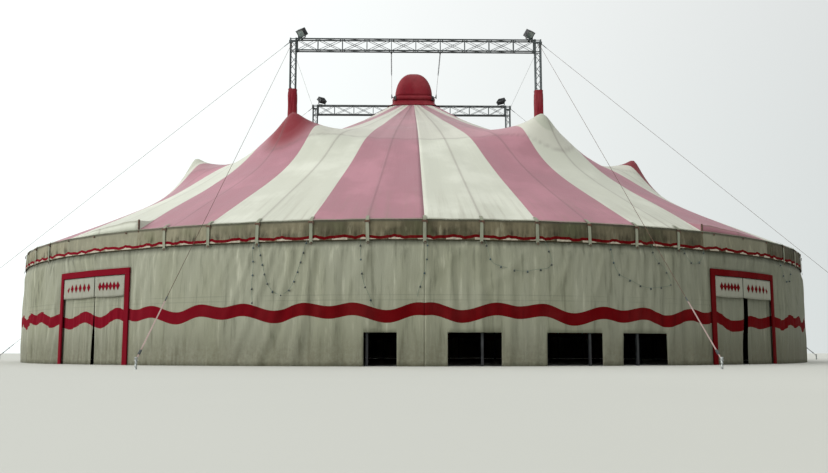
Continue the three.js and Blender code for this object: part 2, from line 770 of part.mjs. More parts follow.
// The saddle lies square across the arch's tubes while the ears follow the lamp's own turn.
function bracketShape(turn) {
  const baseHeight = FLOODLIGHT_PIVOT - TRUSS_TOP - SEAT_GAP;
  const across = FLOODLIGHT.width / 2 + EAR_GAP + EAR;
  const saddle = box(SADDLE.width, MAST_WIDTH, SADDLE.thickness, 0, 0, 0).rotateZ(-turn);
  const pieces = [
    saddle.translate(0, 0, -baseHeight + SADDLE.thickness / 2),
    box(2 * across, EAR_WIDTH, EAR, 0, 0, -baseHeight + SADDLE.thickness + EAR / 2),
  ];
  for (const s of [-1, 1]) {
    const height = baseHeight - SADDLE.thickness + EAR_HEAD;
    pieces.push(box(EAR, EAR_WIDTH, height, s * (across - EAR / 2), 0, EAR_HEAD - height / 2));
  }
  return join(pieces).subtract(solid(pivotCylinder(PIVOT.hole, 3 * across)));
}

// The lamp head at its own pivot, with its glass towards -Y.
function headShape() {
  const { width, depth, height } = FLOODLIGHT;
  const outline = new THREE.Shape([
    new THREE.Vector2(-depth / 2, -height / 2),
    new THREE.Vector2(0, -height / 2),
    new THREE.Vector2(depth / 2, -height / 3),
    new THREE.Vector2(depth / 2, height / 3),
    new THREE.Vector2(0, height / 2),
    new THREE.Vector2(-depth / 2, height / 2),
  ]);
  const body = new THREE.ExtrudeGeometry(outline, { depth: width, bevelEnabled: false })
    .translate(0, 0, -width / 2)
    .rotateX(Math.PI / 2)
    .rotateZ(Math.PI / 2);
  const pin = pivotCylinder(PIVOT.pin, width + 2 * (EAR_GAP + EAR + PIVOT.head));
  const [glassWidth, glassHeight] = [width - 2 * GLASS.rim, height - 2 * GLASS.rim];
  const glass = box(glassWidth, 2 * GLASS.setback, glassHeight, 0, -depth / 2, 0);
  return solid(body).add(solid(pin)).subtract(solid(glass));
}

for (const { name, x: sx, y: sy } of CORNERS) {
  const mount = new THREE.Group();
  mount.position.set(sx * (MAST_OFFSET - FLOODLIGHT_INSET), sy * MAST_OFFSET, FLOODLIGHT_PIVOT);
  mount.rotation.z = Math.atan2(sx, -sy);
  bigTop.add(mount);
  const bracket = bracketShape(mount.rotation.z);
  addPiece(`floodlight_bracket_${name}`, bracket, COLOURS.black, 0.5, 0.5, mount);
  const tilt = new THREE.Group();
  tilt.rotation.x = radians(FLOODLIGHT_TILT_DEG);
  mount.add(tilt);
  addPiece(`floodlight_head_${name}`, headShape(), COLOURS.black, 0.5, 0.3, tilt);
}

export default bigTop;
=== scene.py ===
"""A round circus big top, dressed round its packed model.

Metres, +Z up. The origin is at ground level in the middle of the ring, and the front faces -Y.
Azimuths are in degrees from the front, 90 at +X.
"""

import math

import bpy
import numpy as np
from bpy.props import FloatProperty, FloatVectorProperty, IntProperty, PointerProperty
from mathutils import Euler, Matrix, Vector, noise


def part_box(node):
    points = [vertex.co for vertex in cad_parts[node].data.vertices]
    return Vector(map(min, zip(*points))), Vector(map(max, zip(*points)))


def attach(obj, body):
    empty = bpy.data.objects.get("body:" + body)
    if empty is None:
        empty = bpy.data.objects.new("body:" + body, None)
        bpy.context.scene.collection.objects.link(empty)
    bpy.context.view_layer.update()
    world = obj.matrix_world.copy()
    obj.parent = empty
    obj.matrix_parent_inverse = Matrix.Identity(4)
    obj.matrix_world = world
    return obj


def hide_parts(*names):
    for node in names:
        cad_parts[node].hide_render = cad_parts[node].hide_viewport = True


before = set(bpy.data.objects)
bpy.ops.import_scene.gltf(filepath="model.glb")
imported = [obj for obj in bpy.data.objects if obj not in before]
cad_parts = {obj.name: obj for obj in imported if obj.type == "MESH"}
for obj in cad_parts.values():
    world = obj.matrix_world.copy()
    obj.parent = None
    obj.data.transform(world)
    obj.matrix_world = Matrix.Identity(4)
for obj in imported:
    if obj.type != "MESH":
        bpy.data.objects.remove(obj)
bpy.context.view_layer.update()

bl_info = {
    "name": "Round big top",
    "version": (1, 0, 0),
    "blender": (4, 5, 0),
    "location": "3D View > Sidebar > Big top",
    "description": "Makes the cloth, lattice, ropes and lamps of a round circus tent",
    "category": "Object",
}

# Sizes taken from the packed model

FACET = 360 / 64
STRIPE = 2 * FACET
# Each quarter's sides of the tent, +X and +Y as 1, and the azimuth that it starts at
CORNERS = {
    "front_right": (1, -1, 0),
    "rear_right": (1, 1, 90),
    "rear_left": (-1, 1, 180),
    "front_left": (-1, -1, 270),
}
SIDES = {"right": 1, "left": -1}
CANOPY_LOW, CANOPY_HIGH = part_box("canopy_front_right")
VALANCE_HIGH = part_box("valance_front_right")[1]
WALL_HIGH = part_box("side_wall_front_right")[1]
COLLAR_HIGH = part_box("cupola_collar")[1]
RING_LOW, RING_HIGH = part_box("cupola_ring")
DOME_LOW, DOME_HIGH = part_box("cupola_dome")
MAST_LOW, MAST_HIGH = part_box("mast_front_right")
ARCH_LOW, ARCH_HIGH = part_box("arch_truss_front")
SLEEVE_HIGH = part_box("mast_sleeve_front_right")[1]

TENT_RADIUS = round(VALANCE_HIGH[0], 2)
WALL_RADIUS = round(WALL_HIGH[0], 2) - 0.015
EAVE_TOP = round(CANOPY_LOW[2] + 0.03, 2)
COLLAR_TOP = round(CANOPY_HIGH[2], 2)
COLLAR_RADIUS = 1.0
MAST = round((MAST_LOW[0] + MAST_HIGH[0]) / 2, 3)
MAST_TOP = MAST_HIGH[2]
ARCH_FOOT = ARCH_LOW[2]
ARCH_DEPTH = ARCH_HIGH[1] - ARCH_LOW[1]
PANELS = 10
PANEL = 2 * MAST / PANELS

# The roof's form, the same as the packed model's
FRONT_CROWN = 0.36
SIDE_SAG = 0.53
FRONT_PEAK = (5 * FACET, 9.05, 1.78)
SIDE_PEAK = (11 * FACET, 9.40, 1.43)
PEAK_WIDTH = 1.37
PEAK_INNER_REACH = 1.22
PEAK_OUTER_REACH = 0.86
PEAK_ROUNDING = 0.13
# The side peaks' tips, which stand above the modelled form
SIDE_TIP_RISE = 0.09
SIDE_TIP_REACH = 0.33

# The cupola's sections are rounded squares, powers of this order
SQUARENESS = 6
HEM_BLEND = 2.8

DOOR = (33.2, 46.6)
DOOR_HEIGHT = 2.64
HEADER_FOOT = 2.53
BANNER_FOOT = 1.93
CURTAIN_SPLIT = 39.4
# The band on the curtains: azimuth and height above its mean, on either side
CURTAIN_BAND = {
    1: [(32.0, 0.06), (34.5, 0.04), (36.8, -0.22), (39.2, -0.2), (41.0, -0.03), (43.4, -0.13), (46.8, 0.0)],
    -1: [(32.0, 0.0), (33.4, 0.0), (35.5, 0.16), (38.2, -0.16), (41.3, 0.09), (44.5, -0.15), (46.8, -0.05)],
}
# Where the curtains' inner edges hang: azimuth at the top and how far the foot is drawn aside
CURTAIN_EDGES = {1: [(39.60, -0.60), (40.60, -0.50)], -1: [(39.33, -0.30), (39.47, 0.30)]}
VENTS = [(-5.9, -2.7), (2.2, 7.5), (12.1, 18.1), (20.5, 26.0)]
VENT_HEIGHT = 0.85
# The roof's edge is lifted over an entrance: it starts short, is full, and is down again
BROW = (32.0, 33.6, 45.3)
# Radii of the lifted edge: where the lift begins, the roof's rim, and where its fascia hangs
BROW_INNER = 14.3
RIM = 14.97
FASCIA = 14.985
# How much of the lift there is on the right and on the left
BROW_SHARE = {1: 0.70, -1: 1.0}


def linear(hex_colour, alpha=None):
    """An sRGB hex colour as linear values, with an alpha where one is asked for."""
    shares = [int(hex_colour[i : i + 2], 16) / 255 for i in (1, 3, 5)]
    rgb = [s / 12.92 if s <= 0.04045 else ((s + 0.055) / 1.055) ** 2.4 for s in shares]
    return tuple(rgb) if alpha is None else (*rgb, alpha)


def colour_property(name, hex_colour, description):
    """A colour that a user can change, from its sRGB hex value."""
    return FloatVectorProperty(
        name=name,
        description=description,
        default=linear(hex_colour),
        min=0.0,
        max=1.0,
        size=3,
        subtype="COLOR",
    )


def length_property(name, metres, description):
    """A length that a user can change, in metres."""
    return FloatProperty(name=name, description=description, default=metres, min=0.0, unit="LENGTH")


class BigTopSizes(bpy.types.PropertyGroup):
    """Sizes of the tent's cloth, trim, lattice and lights."""

    cloth: length_property("Cloth thickness", 0.004, "Thickness of the coated cloth")
    web_rise: length_property("Web rise", 0.018, "How far the webs stand above the cloth between")
    wall_fold: length_property("Wall folds", 0.052, "Depth of the wall's vertical folds")
    valance_fold: length_property("Valance folds", 0.018, "Depth of the valance's gathers")
    band_middle: length_property("Band height", 1.31, "Height of the middle of the wavy band")
    band_width: length_property("Band width", 0.325, "Width of the wavy band on the wall")
    brow_lift: length_property("Brow lift", 0.27, "Rise of the roof's edge over an entrance")
    strap: length_property("Strap width", 0.085, "Width of the webbing over each side pole")
    chord: length_property("Chord tube", 0.055, "Diameter of the masts' and arches' main tubes")
    lacing: length_property("Lacing rod", 0.020, "Diameter of the lattice's diagonal rods")
    stay: length_property("Stay rope", 0.012, "Diameter of the masts' stay ropes")
    bulb: length_property("Bulb", 0.050, "Diameter of a string light's bulb")
    bulb_step: length_property("Bulb spacing", 0.36, "Distance between two bulbs")


class BigTopColours(bpy.types.PropertyGroup):
    """Colours of the tent's cloth, paint and metal."""

    roof_red: colour_property("Roof red", "#9a6973", "Faded red stripes of the roof")
    roof_cream: colour_property("Roof cream", "#bbbdae", "Cream stripes of the roof")
    cap_red: colour_property("Cap red", "#74101e", "Red patches on the peaks and the cupola")
    wall: colour_property("Wall", "#939482", "Grey-beige side wall")
    valance: colour_property("Valance", "#6c6550", "Grime-stained valance")
    washed: colour_property("Washed valance", "#84826f", "Newer valance over the entrances")
    band_red: colour_property("Band red", "#5a0509", "Wavy band, trim and door frames")
    trim_pale: colour_property("Trim pale", "#a59d8c", "Pale edging under the wavy trim")
    # Its darkness is partly painted shadow under the valance's hem.
    binding: colour_property("Binding", "#37301f", "Webbing sewn along the valance's hem")
    strap_pink: colour_property("Strap pink", "#9d8a84", "Lashing straps of the forward stays")
    banner: colour_property("Banner", "#8e8f82", "Banners over the entrances")
    zinc: colour_property("Zinc", "#3d4243", "Galvanised tubes of the lattice")
    black: colour_property("Black", "#16181a", "Lamp housings and hooks")
    webbing: colour_property("Webbing", "#868a78", "Straps over the side poles")


class BigTopSettings(bpy.types.PropertyGroup):
    """All that a user can change on the big top."""

    sizes: PointerProperty(name="Sizes", type=BigTopSizes)
    colours: PointerProperty(name="Colours", type=BigTopColours)
    tube_sides: IntProperty(name="Tube sides", description="Faces round a tube", default=10, min=4)


def settings():
    return bpy.context.scene.big_top


def colour(name):
    """A colour of the settings, with full alpha."""
    return (*getattr(settings().colours, name), 1.0)


# Working with objects


def deselect():
    if bpy.context.object and bpy.context.object.mode != "OBJECT":
        bpy.ops.object.mode_set(mode="OBJECT")
    bpy.ops.object.select_all(action="DESELECT")


def pick(*pieces):
    """Selects these pieces and nothing else, the first one active."""
    deselect()
    for piece in pieces:
        piece.select_set(True)
    bpy.context.view_layer.objects.active = pieces[0]


def seat(piece):
    """Puts a piece's place, turn and size into its mesh."""
    pick(piece)
    bpy.ops.object.transform_apply(location=True, rotation=True, scale=True)
    return piece


def joined(pieces, name):
    """One mesh of several, seated at the origin."""
    pick(*pieces)
    if len(pieces) > 1:
        bpy.ops.object.join()
    whole = bpy.context.object
    whole.name = name
    whole.data.name = name
    return seat(whole)


def twin(piece, name, matrix):
    """A copy with a mesh of its own, moved by a matrix; a mirrored one is turned right side out."""
    other = piece.copy()
    other.data = piece.data.copy()
    other.name = name
    other.data.name = name
    bpy.context.scene.collection.objects.link(other)
    other.data.transform(matrix)
    if matrix.determinant() < 0:
        other.data.flip_normals()
    return other


def turned(azimuth):
    """The turn about the tent's axis that takes the front to an azimuth."""
    return Matrix.Rotation(math.radians(azimuth), 4, "Z")


def modified(piece, kind, **values):
    """Adds a modifier with its values and applies it."""
    pick(piece)
    bpy.ops.object.modifier_add(type=kind)
    modifier = piece.modifiers[-1]
    for name, value in values.items():
        setattr(modifier, name, value)
    bpy.ops.object.modifier_apply(modifier=modifier.name)
    return piece


def repeated(piece, count, step):
    """The piece and its copies in a row, as one mesh."""
    seat(piece)
    return modified(
        piece,
        "ARRAY",
        count=count,
        use_relative_offset=False,
        use_constant_offset=True,
        constant_offset_displace=step,
    )


def smoothed(piece, angle=40):
    pick(piece)
    bpy.ops.object.shade_smooth_by_angle(angle=math.radians(angle))
    return piece


def finished(piece, body, slot, *materials, replaced=()):
    """Gives a seated piece its finish and its place on the tent."""
    seat(piece)
    for index, material in enumerate(materials):
        if index < len(piece.data.materials):
            piece.data.materials[index] = material
        else:
            piece.data.materials.append(material)
    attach(piece, body)
    if replaced:
        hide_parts(*replaced)
    return piece


def selected_faces(piece, test):
    """Goes into edit mode with only the faces selected whose middle passes a test."""
    pick(piece)
    bpy.ops.object.mode_set(mode="EDIT")
    bpy.ops.mesh.select_mode(type="FACE")
    bpy.ops.mesh.select_all(action="DESELECT")
    bpy.ops.object.mode_set(mode="OBJECT")
    for face in piece.data.polygons:
        face.select = bool(test(face.center, face.normal))
    bpy.ops.object.mode_set(mode="EDIT")


def cut_away(piece, test):
    """Deletes the faces whose middle passes a test."""
    selected_faces(piece, test)
    bpy.ops.mesh.delete(type="FACE")
    bpy.ops.object.mode_set(mode="OBJECT")
    return piece


def closed_up(piece, gap):
    """Merges points that lie within a gap of each other and turns the faces outwards."""
    pick(piece)
    bpy.ops.object.mode_set(mode="EDIT")
    bpy.ops.mesh.select_all(action="SELECT")
    bpy.ops.mesh.remove_doubles(threshold=gap)
    bpy.ops.mesh.normals_make_consistent(inside=False)
    bpy.ops.object.mode_set(mode="OBJECT")
    return piece


def painted(name, key):
    """Gives a piece that keeps its modelled shape a finish from the list."""
    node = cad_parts[name]
    node.data.materials.clear()
    node.data.materials.append(material(key))


def rod(start, end, diameter, sides=None):
    """A round bar between two points."""
    start, end = Vector(start), Vector(end)
    along = end - start
    deselect()
    bpy.ops.mesh.primitive_cylinder_add(
        vertices=sides or settings().tube_sides,
        radius=diameter / 2,
        depth=along.length,
        location=(start + end) / 2,
        rotation=along.to_track_quat("Z", "Y").to_euler(),
    )
    return bpy.context.object


def block(size, place, bevel=0.0, turn=(0, 0, 0)):
    """A box with worn edges, at its size and place."""
    deselect()
    bpy.ops.mesh.primitive_cube_add(size=1, location=place, rotation=turn)
    piece = bpy.context.object
    piece.scale = size
    bpy.ops.object.transform_apply(location=False, rotation=False, scale=True)
    if bevel:
        bpy.ops.object.mode_set(mode="EDIT")
        bpy.ops.mesh.select_all(action="SELECT")
        bpy.ops.mesh.bevel(offset=bevel, segments=2, affect="EDGES")
        bpy.ops.object.mode_set(mode="OBJECT")
    return piece


def lathed(name, profile, steps=64):
    """A profile of (radius, height) pairs spun round the tent's axis, its seam closed."""
    deselect()
    bpy.ops.mesh.primitive_grid_add(x_subdivisions=1, y_subdivisions=len(profile) - 1, size=1)
    piece = bpy.context.object
    piece.name = name
    piece.data.name = name
    ends = [(r, 0.0, z) for r, z in profile for _ in range(2)]
    piece.data.vertices.foreach_set("co", np.array(ends).reshape(-1))
    bpy.ops.object.mode_set(mode="EDIT")
    bpy.ops.mesh.select_all(action="SELECT")
    bpy.ops.mesh.remove_doubles(threshold=0.0001)
    bpy.ops.mesh.spin(steps=steps, angle=2 * math.pi, center=(0, 0, 0), axis=(0, 0, 1))
    bpy.ops.mesh.select_all(action="SELECT")
    bpy.ops.mesh.remove_doubles(threshold=0.0001)
    bpy.ops.mesh.normals_make_consistent(inside=False)
    bpy.ops.object.mode_set(mode="OBJECT")
    return piece


# Working with cloth


def on_flat(radius, azimuth):
    """The distance from the axis on the ring's flats, for a radius at the ring's corners."""
    middle = (np.floor(azimuth / FACET + 1e-9) + 0.5) * FACET
    return radius * math.cos(math.radians(FACET / 2)) / np.cos(np.radians(azimuth - middle))


def ring_point(radius, azimuth, height):
    """Points round the axis, from arrays of their radius, azimuth and height."""
    a = np.radians(azimuth)
    return np.stack([radius * np.sin(a), -radius * np.cos(a), height + 0 * a], axis=-1)


def stops(start, end, step, kept=()):
    """Values from start to end about a step apart, with the kept ones among them."""
    marks = sorted({start, end, *(k for k in kept if start < k < end)})
    values = [start]
    for low, high in zip(marks, marks[1:]):
        count = max(1, round((high - low) / step))
        values.extend(low + (high - low) * (i + 1) / count for i in range(count))
    return np.array(values)


def cloth_grid(name, across, up, place):
    """A sheet made from a grid: place(across, up) gives the points of the two lists' values."""
    deselect()
    bpy.ops.mesh.primitive_grid_add(
        x_subdivisions=len(across) - 1, y_subdivisions=len(up) - 1, size=1
    )
    piece = bpy.context.object
    piece.name = name
    piece.data.name = name
    a, u = np.meshgrid(across, up)
    points = place(a, u)
    piece.data.vertices.foreach_set("co", points.reshape(-1))
    piece.data.update()
    return piece


def grid_cells(piece, columns):
    """Each face's row and column on the grid that its sheet was made from."""
    first = np.array([min(face.vertices) for face in piece.data.polygons])
    return first // columns, first % columns


def thickened(piece):
    """A sheet with the cloth's thickness, inwards."""
    modified(piece, "SOLIDIFY", thickness=settings().sizes.cloth, offset=-1.0)
    pick(piece)
    bpy.ops.object.shade_smooth()
    return piece


def ramp(value, low, high):
    """A smooth rise from 0 at low to 1 at high."""
    t = np.clip((value - low) / (high - low), 0, 1)
    return t * t * (3 - 2 * t)


def ripple(points, scale, seed):
    """Smooth noise from -1 to 1 at each point, with a grain of about the scale in metres."""
    flat = points.reshape(-1, 3) / scale + seed
    values = np.fromiter((noise.noise(Vector(p)) for p in flat), float, len(flat))
    return values.reshape(points.shape[:-1])


def canopy_height(radius, azimuth):
    """The roof's height, from arrays of radius and azimuth."""
    outward = (radius - COLLAR_RADIUS) / (TENT_RADIUS - COLLAR_RADIUS)
    sideways = (1 - np.cos(np.radians(2 * azimuth))) / 2
    crown = FRONT_CROWN * (1 - sideways) - SIDE_SAG * sideways
    z = COLLAR_TOP + (EAVE_TOP - COLLAR_TOP) * outward + crown * np.sin(np.pi * outward)
    for peak_azimuth, peak_radius, rise in all_peaks():
        turn = np.radians(azimuth - peak_azimuth)
        across = radius * np.sin(turn)
        along = radius * np.cos(turn) - peak_radius
        reach = np.where(along < 0, PEAK_INNER_REACH, PEAK_OUTER_REACH)
        fade = np.minimum(1, (TENT_RADIUS - radius) / (TENT_RADIUS - peak_radius))
        away = np.sqrt((across / PEAK_WIDTH) ** 2 + (along / reach) ** 2 + PEAK_ROUNDING**2)
        z = z + rise * fade * np.exp(-away)
    return z


def drawn_in(radius, azimuth):
    """The radius that gives the roof its height, so that its top meets the cupola's square hem."""
    hem = COLLAR_RADIUS * squared(np.radians(azimuth))
    share = np.clip((HEM_BLEND - radius) / (HEM_BLEND - hem), 0, 1)
    return np.where(radius < HEM_BLEND, HEM_BLEND - share * (HEM_BLEND - COLLAR_RADIUS), radius)


def all_peaks():
    """Azimuth, radius and rise of the roof's eight peaks."""
    for azimuth, radius, rise in (FRONT_PEAK, SIDE_PEAK):
        for a in (azimuth, 180 - azimuth, 180 + azimuth, 360 - azimuth):
            yield a, radius, rise


def from_front(azimuth):
    """The azimuth's distance from the front, from 0 to 180 on either side."""
    return np.abs((azimuth + 180) % 360 - 180)


# Materials


def add(tree, kind, inputs=None, **values):
    """Adds a node; an input is a value, or the socket that it is linked from."""
    node = tree.nodes.new(kind)
    for name, value in values.items():
        setattr(node, name, value)
    for key, value in (inputs or {}).items():
        if isinstance(value, bpy.types.NodeSocket):
            tree.links.new(value, node.inputs[key])
        else:
            node.inputs[key].default_value = value
    return node


def new_material(name, **shader_values):
    """A material with its shader's own values; returns it, its tree and its shader."""
    material = bpy.data.materials.new(name)
    material.use_nodes = True
    tree = material.node_tree
    shader = tree.nodes["Principled BSDF"]
    for key, value in shader_values.items():
        shader.inputs[key.replace("_", " ")].default_value = value
    return material, tree, shader


def stretched_noise(tree, coordinates, stretch, scale, detail=4.0, roughness=0.55):
    """Noise on coordinates that are stretched first, so that it runs in streaks."""
    mapped = add(tree, "ShaderNodeMapping", {"Vector": coordinates, "Scale": stretch})
    return add(
        tree,
        "ShaderNodeTexNoise",
        {
            "Vector": mapped.outputs["Vector"],
            "Scale": scale,
            "Detail": detail,
            "Roughness": roughness,
        },
    ).outputs["Fac"]


def between(tree, value, low, high, to_low=0.0, to_high=1.0, smooth=True):
    """A value's place between two limits, clamped, as a share or another range."""
    return add(
        tree,
        "ShaderNodeMapRange",
        {"Value": value, 1: low, 2: high, 3: to_low, 4: to_high},
        interpolation_type="SMOOTHSTEP" if smooth else "LINEAR",
    ).outputs[0]


def product(tree, *values):
    """Several shares multiplied."""
    result = values[0]
    for value in values[1:]:
        result = add(tree, "ShaderNodeMath", {0: result, 1: value}, operation="MULTIPLY").outputs[0]
    return result


def mixed(tree, share, first, second, blend="MIX"):
    """Two colours mixed by a share."""
    return add(
        tree,
        "ShaderNodeMix",
        {0: share, 6: first, 7: second},
        data_type="RGBA",
        blend_type=blend,
    ).outputs[2]


def tinted(tree, share, under, hex_colour):
    """A colour with a share of another over it, which is an sRGB hex value."""
    return mixed(tree, share, under, linear(hex_colour, 1.0))


def total(tree, *values):
    """Several shares added up."""
    result = values[0]
    for value in values[1:]:
        result = add(tree, "ShaderNodeMath", {0: result, 1: value}, operation="ADD").outputs[0]
    return result


def distance_from(tree, value, mark):
    """How far a value lies from a mark, on either side."""
    off = add(tree, "ShaderNodeMath", {0: value, 1: mark}, operation="SUBTRACT").outputs[0]
    return add(tree, "ShaderNodeMath", {0: off}, operation="ABSOLUTE").outputs[0]


def written_share(tree, name):
    """A share that paint_roof wrote on the sheet's points."""
    return add(tree, "ShaderNodeAttribute", attribute_name=name).outputs["Fac"]


def bumped(tree, shader, height, distance, strength=1.0):
    """A relief of a height share over a distance in metres."""
    bump = add(
        tree, "ShaderNodeBump", {"Height": height, "Distance": distance, "Strength": strength}
    )
    tree.links.new(bump.outputs["Normal"], shader.inputs["Normal"])


# Puts the weave's threads, the bands of a wave texture, about 7.5 mm apart
WEAVE_SCALE = 125 / 3
# The heights of the two stitched laps on the wall
WALL_LAPS = (1.67, 1.80)


def weave(tree, coordinates):
    """The cloth's plain weave, drawn coarser than it is, with threads about 7.5 mm apart."""
    waves = [
        add(
            tree,
            "ShaderNodeTexWave",
            {"Vector": coordinates, "Scale": WEAVE_SCALE, "Distortion": 0.4},
            bands_direction=direction,
        ).outputs["Fac"]
        for direction in ("X", "Z")
    ]
    return product(tree, *waves)


def roof_cloth(name, tint, capped):
    """Coated polyester, calendered and sun-bleached: a soft sheen, laps that show as dark lines,
    grime that runs down from the seams, and on each peak a patch of newer cloth, with a soft dark
    edge on the red ones."""
    material, tree, shader = new_material(name, Roughness=0.52, Specular_IOR_Level=0.35)
    where = add(tree, "ShaderNodeTexCoord")
    place = where.outputs["Object"]
    uv = add(tree, "ShaderNodeSeparateXYZ", {"Vector": where.outputs["UV"]})
    seams, radius = uv.outputs["X"], uv.outputs["Y"]
    share = add(tree, "ShaderNodeMath", {0: seams, 1: 2.0}, operation="MODULO").outputs[0]
    metres = product(tree, distance_from(tree, share, 1.0), radius, math.radians(FACET))
    seam = between(tree, metres, 0.012, 0.05, 1.0, 0.0)
    lap_edge = between(tree, metres, 0.03, 0.12, 1.0, 0.0)
    blotches = stretched_noise(tree, place, (1, 1, 1), 0.55, 6.0)
    streaks = stretched_noise(tree, where.outputs["UV"], (5.0, 0.22, 1), 1.6, 6.0, 0.6)
    low_edge = product(
        tree, between(tree, radius, 12.2, 15.0), between(tree, radius, RIM, RIM + 0.01, 1.0, 0.3)
    )
    rim = product(
        tree, between(tree, radius, 14.88, 14.96), between(tree, radius, RIM, RIM + 0.01, 1.0, 0.0)
    )
    ring = written_share(tree, "above_ring")
    ring_line = written_share(tree, "ring_seam")
    base = colour(tint)
    worn = mixed(tree, between(tree, blotches, 0.35, 0.7), base, linear("#ffffff", 1.0), "SOFT_LIGHT")
    worn = mixed(tree, product(tree, between(tree, blotches, 0.4, 0.62), 0.35), base, worn)
    # Painted light: the upper roof, above the ring seam, is paler, as if lit more by the sky.
    paler = tinted(tree, product(tree, ring, 0.16), worn, "#b3a6a2")
    cap = written_share(tree, "cap")
    patch = between(tree, cap, 0.79, 0.82, 0.0, 0.95)
    if capped:
        paler = mixed(tree, between(tree, cap, 0.51, 0.78, 0.0, 0.93), paler, colour("cap_red"))
    paler = mixed(tree, patch, paler, colour("cap_red"))
    pale_cap = written_share(tree, "pale_cap")
    patch = between(tree, pale_cap, 0.83, 0.86, 0.0, 0.9)
    paler = tinted(tree, patch, paler, "#a9ac9c")
    seamed = tinted(tree, product(tree, seam, 0.26), paler, "#5a4446")
    seamed = tinted(tree, product(tree, lap_edge, streaks, 0.14), seamed, "#6e5f58")
    seamed = tinted(tree, product(tree, ring_line, 0.30), seamed, "#5b4a48")
    runs = product(tree, low_edge, between(tree, streaks, 0.45, 0.75), 0.38)
    dirty = tinted(tree, runs, seamed, "#7b7262")
    dirty = tinted(tree, product(tree, rim, 0.5), dirty, "#6a6652")
    tree.links.new(dirty, shader.inputs["Base Color"])
    threads = product(tree, weave(tree, place), 0.12)
    relief = total(tree, product(tree, seam, 0.5), product(tree, streaks, 0.9), threads)
    bumped(tree, shader, relief, 0.012, 0.6)
    rough = between(tree, blotches, 0.3, 0.7, 0.42, 0.62, smooth=False)
    tree.links.new(rough, shader.inputs["Roughness"])
    return material


def wall_cloth(name, tint, low_grime=0.55, high_grime=0.35):
    """Coated cotton-polyester that hangs free: matt, with rain runs under the valance, splashed
    earth along its foot, two stitched laps at shoulder height, and more moss on the side that the
    sun leaves."""
    material, tree, shader = new_material(name, Roughness=0.72, Specular_IOR_Level=0.25)
    where = add(tree, "ShaderNodeTexCoord")
    place = where.outputs["Object"]
    axes = add(tree, "ShaderNodeSeparateXYZ", {"Vector": place})
    height = axes.outputs["Z"]
    runs = stretched_noise(tree, place, (1, 1, 0.10), 6.0, 6.0, 0.62)
    broad = stretched_noise(tree, place, (1, 1, 0.35), 0.7, 5.0)
    specks = stretched_noise(tree, place, (1, 1, 1), 9.0, 8.0, 0.7)
    base = colour(tint)
    aged = tinted(tree, between(tree, broad, 0.38, 0.66, 0.0, 0.55), base, "#8a8b74")
    # Dark and light vertical streaks: partly stains, partly painted shade and painted highlights of the
    # folds.
    aged = tinted(tree, between(tree, runs, 0.50, 0.72, 0.0, 0.65), aged, "#5f604e")
    aged = tinted(tree, between(tree, runs, 0.22, 0.46, 0.52, 0.0), aged, "#c6c5b1")
    # Painted shade: the wall grows darker towards the tent's right (+X), the side away from the light.
    shaded = between(tree, axes.outputs["X"], 0.5, 12.0, 0.04, 0.52)
    aged = tinted(tree, shaded, aged, "#4c4f42")
    # Darker towards the foot.
    darker_towards_foot = between(tree, height, 0.3, 1.5, 0.32, 0.0)
    aged = tinted(tree, darker_towards_foot, aged, "#4c4a3a")
    foot = product(tree, between(tree, height, 0.0, 1.0, 1.0, 0.0), between(tree, specks, 0.3, 0.7))
    aged = tinted(tree, product(tree, foot, low_grime), aged, "#5e5744")
    head = product(tree, between(tree, height, 2.5, 3.3), between(tree, runs, 0.35, 0.7))
    aged = tinted(tree, product(tree, head, high_grime), aged, "#57584a")
    # Painted shadow under the valance's hem.
    under = between(tree, height, 3.02, 3.17, 0.0, 0.5)
    aged = tinted(tree, under, aged, "#33342a")
    for level in WALL_LAPS:
        lap = between(tree, distance_from(tree, height, level), 0.006, 0.02, 0.24, 0.0)
        lap = product(tree, lap, between(tree, broad, 0.35, 0.6))
        aged = tinted(tree, lap, aged, "#55564a")
    tree.links.new(aged, shader.inputs["Base Color"])
    threads = product(tree, weave(tree, place), 0.10)
    relief = total(tree, product(tree, runs, 0.8), product(tree, specks, 0.15), threads)
    bumped(tree, shader, relief, 0.03, 0.8)
    return material


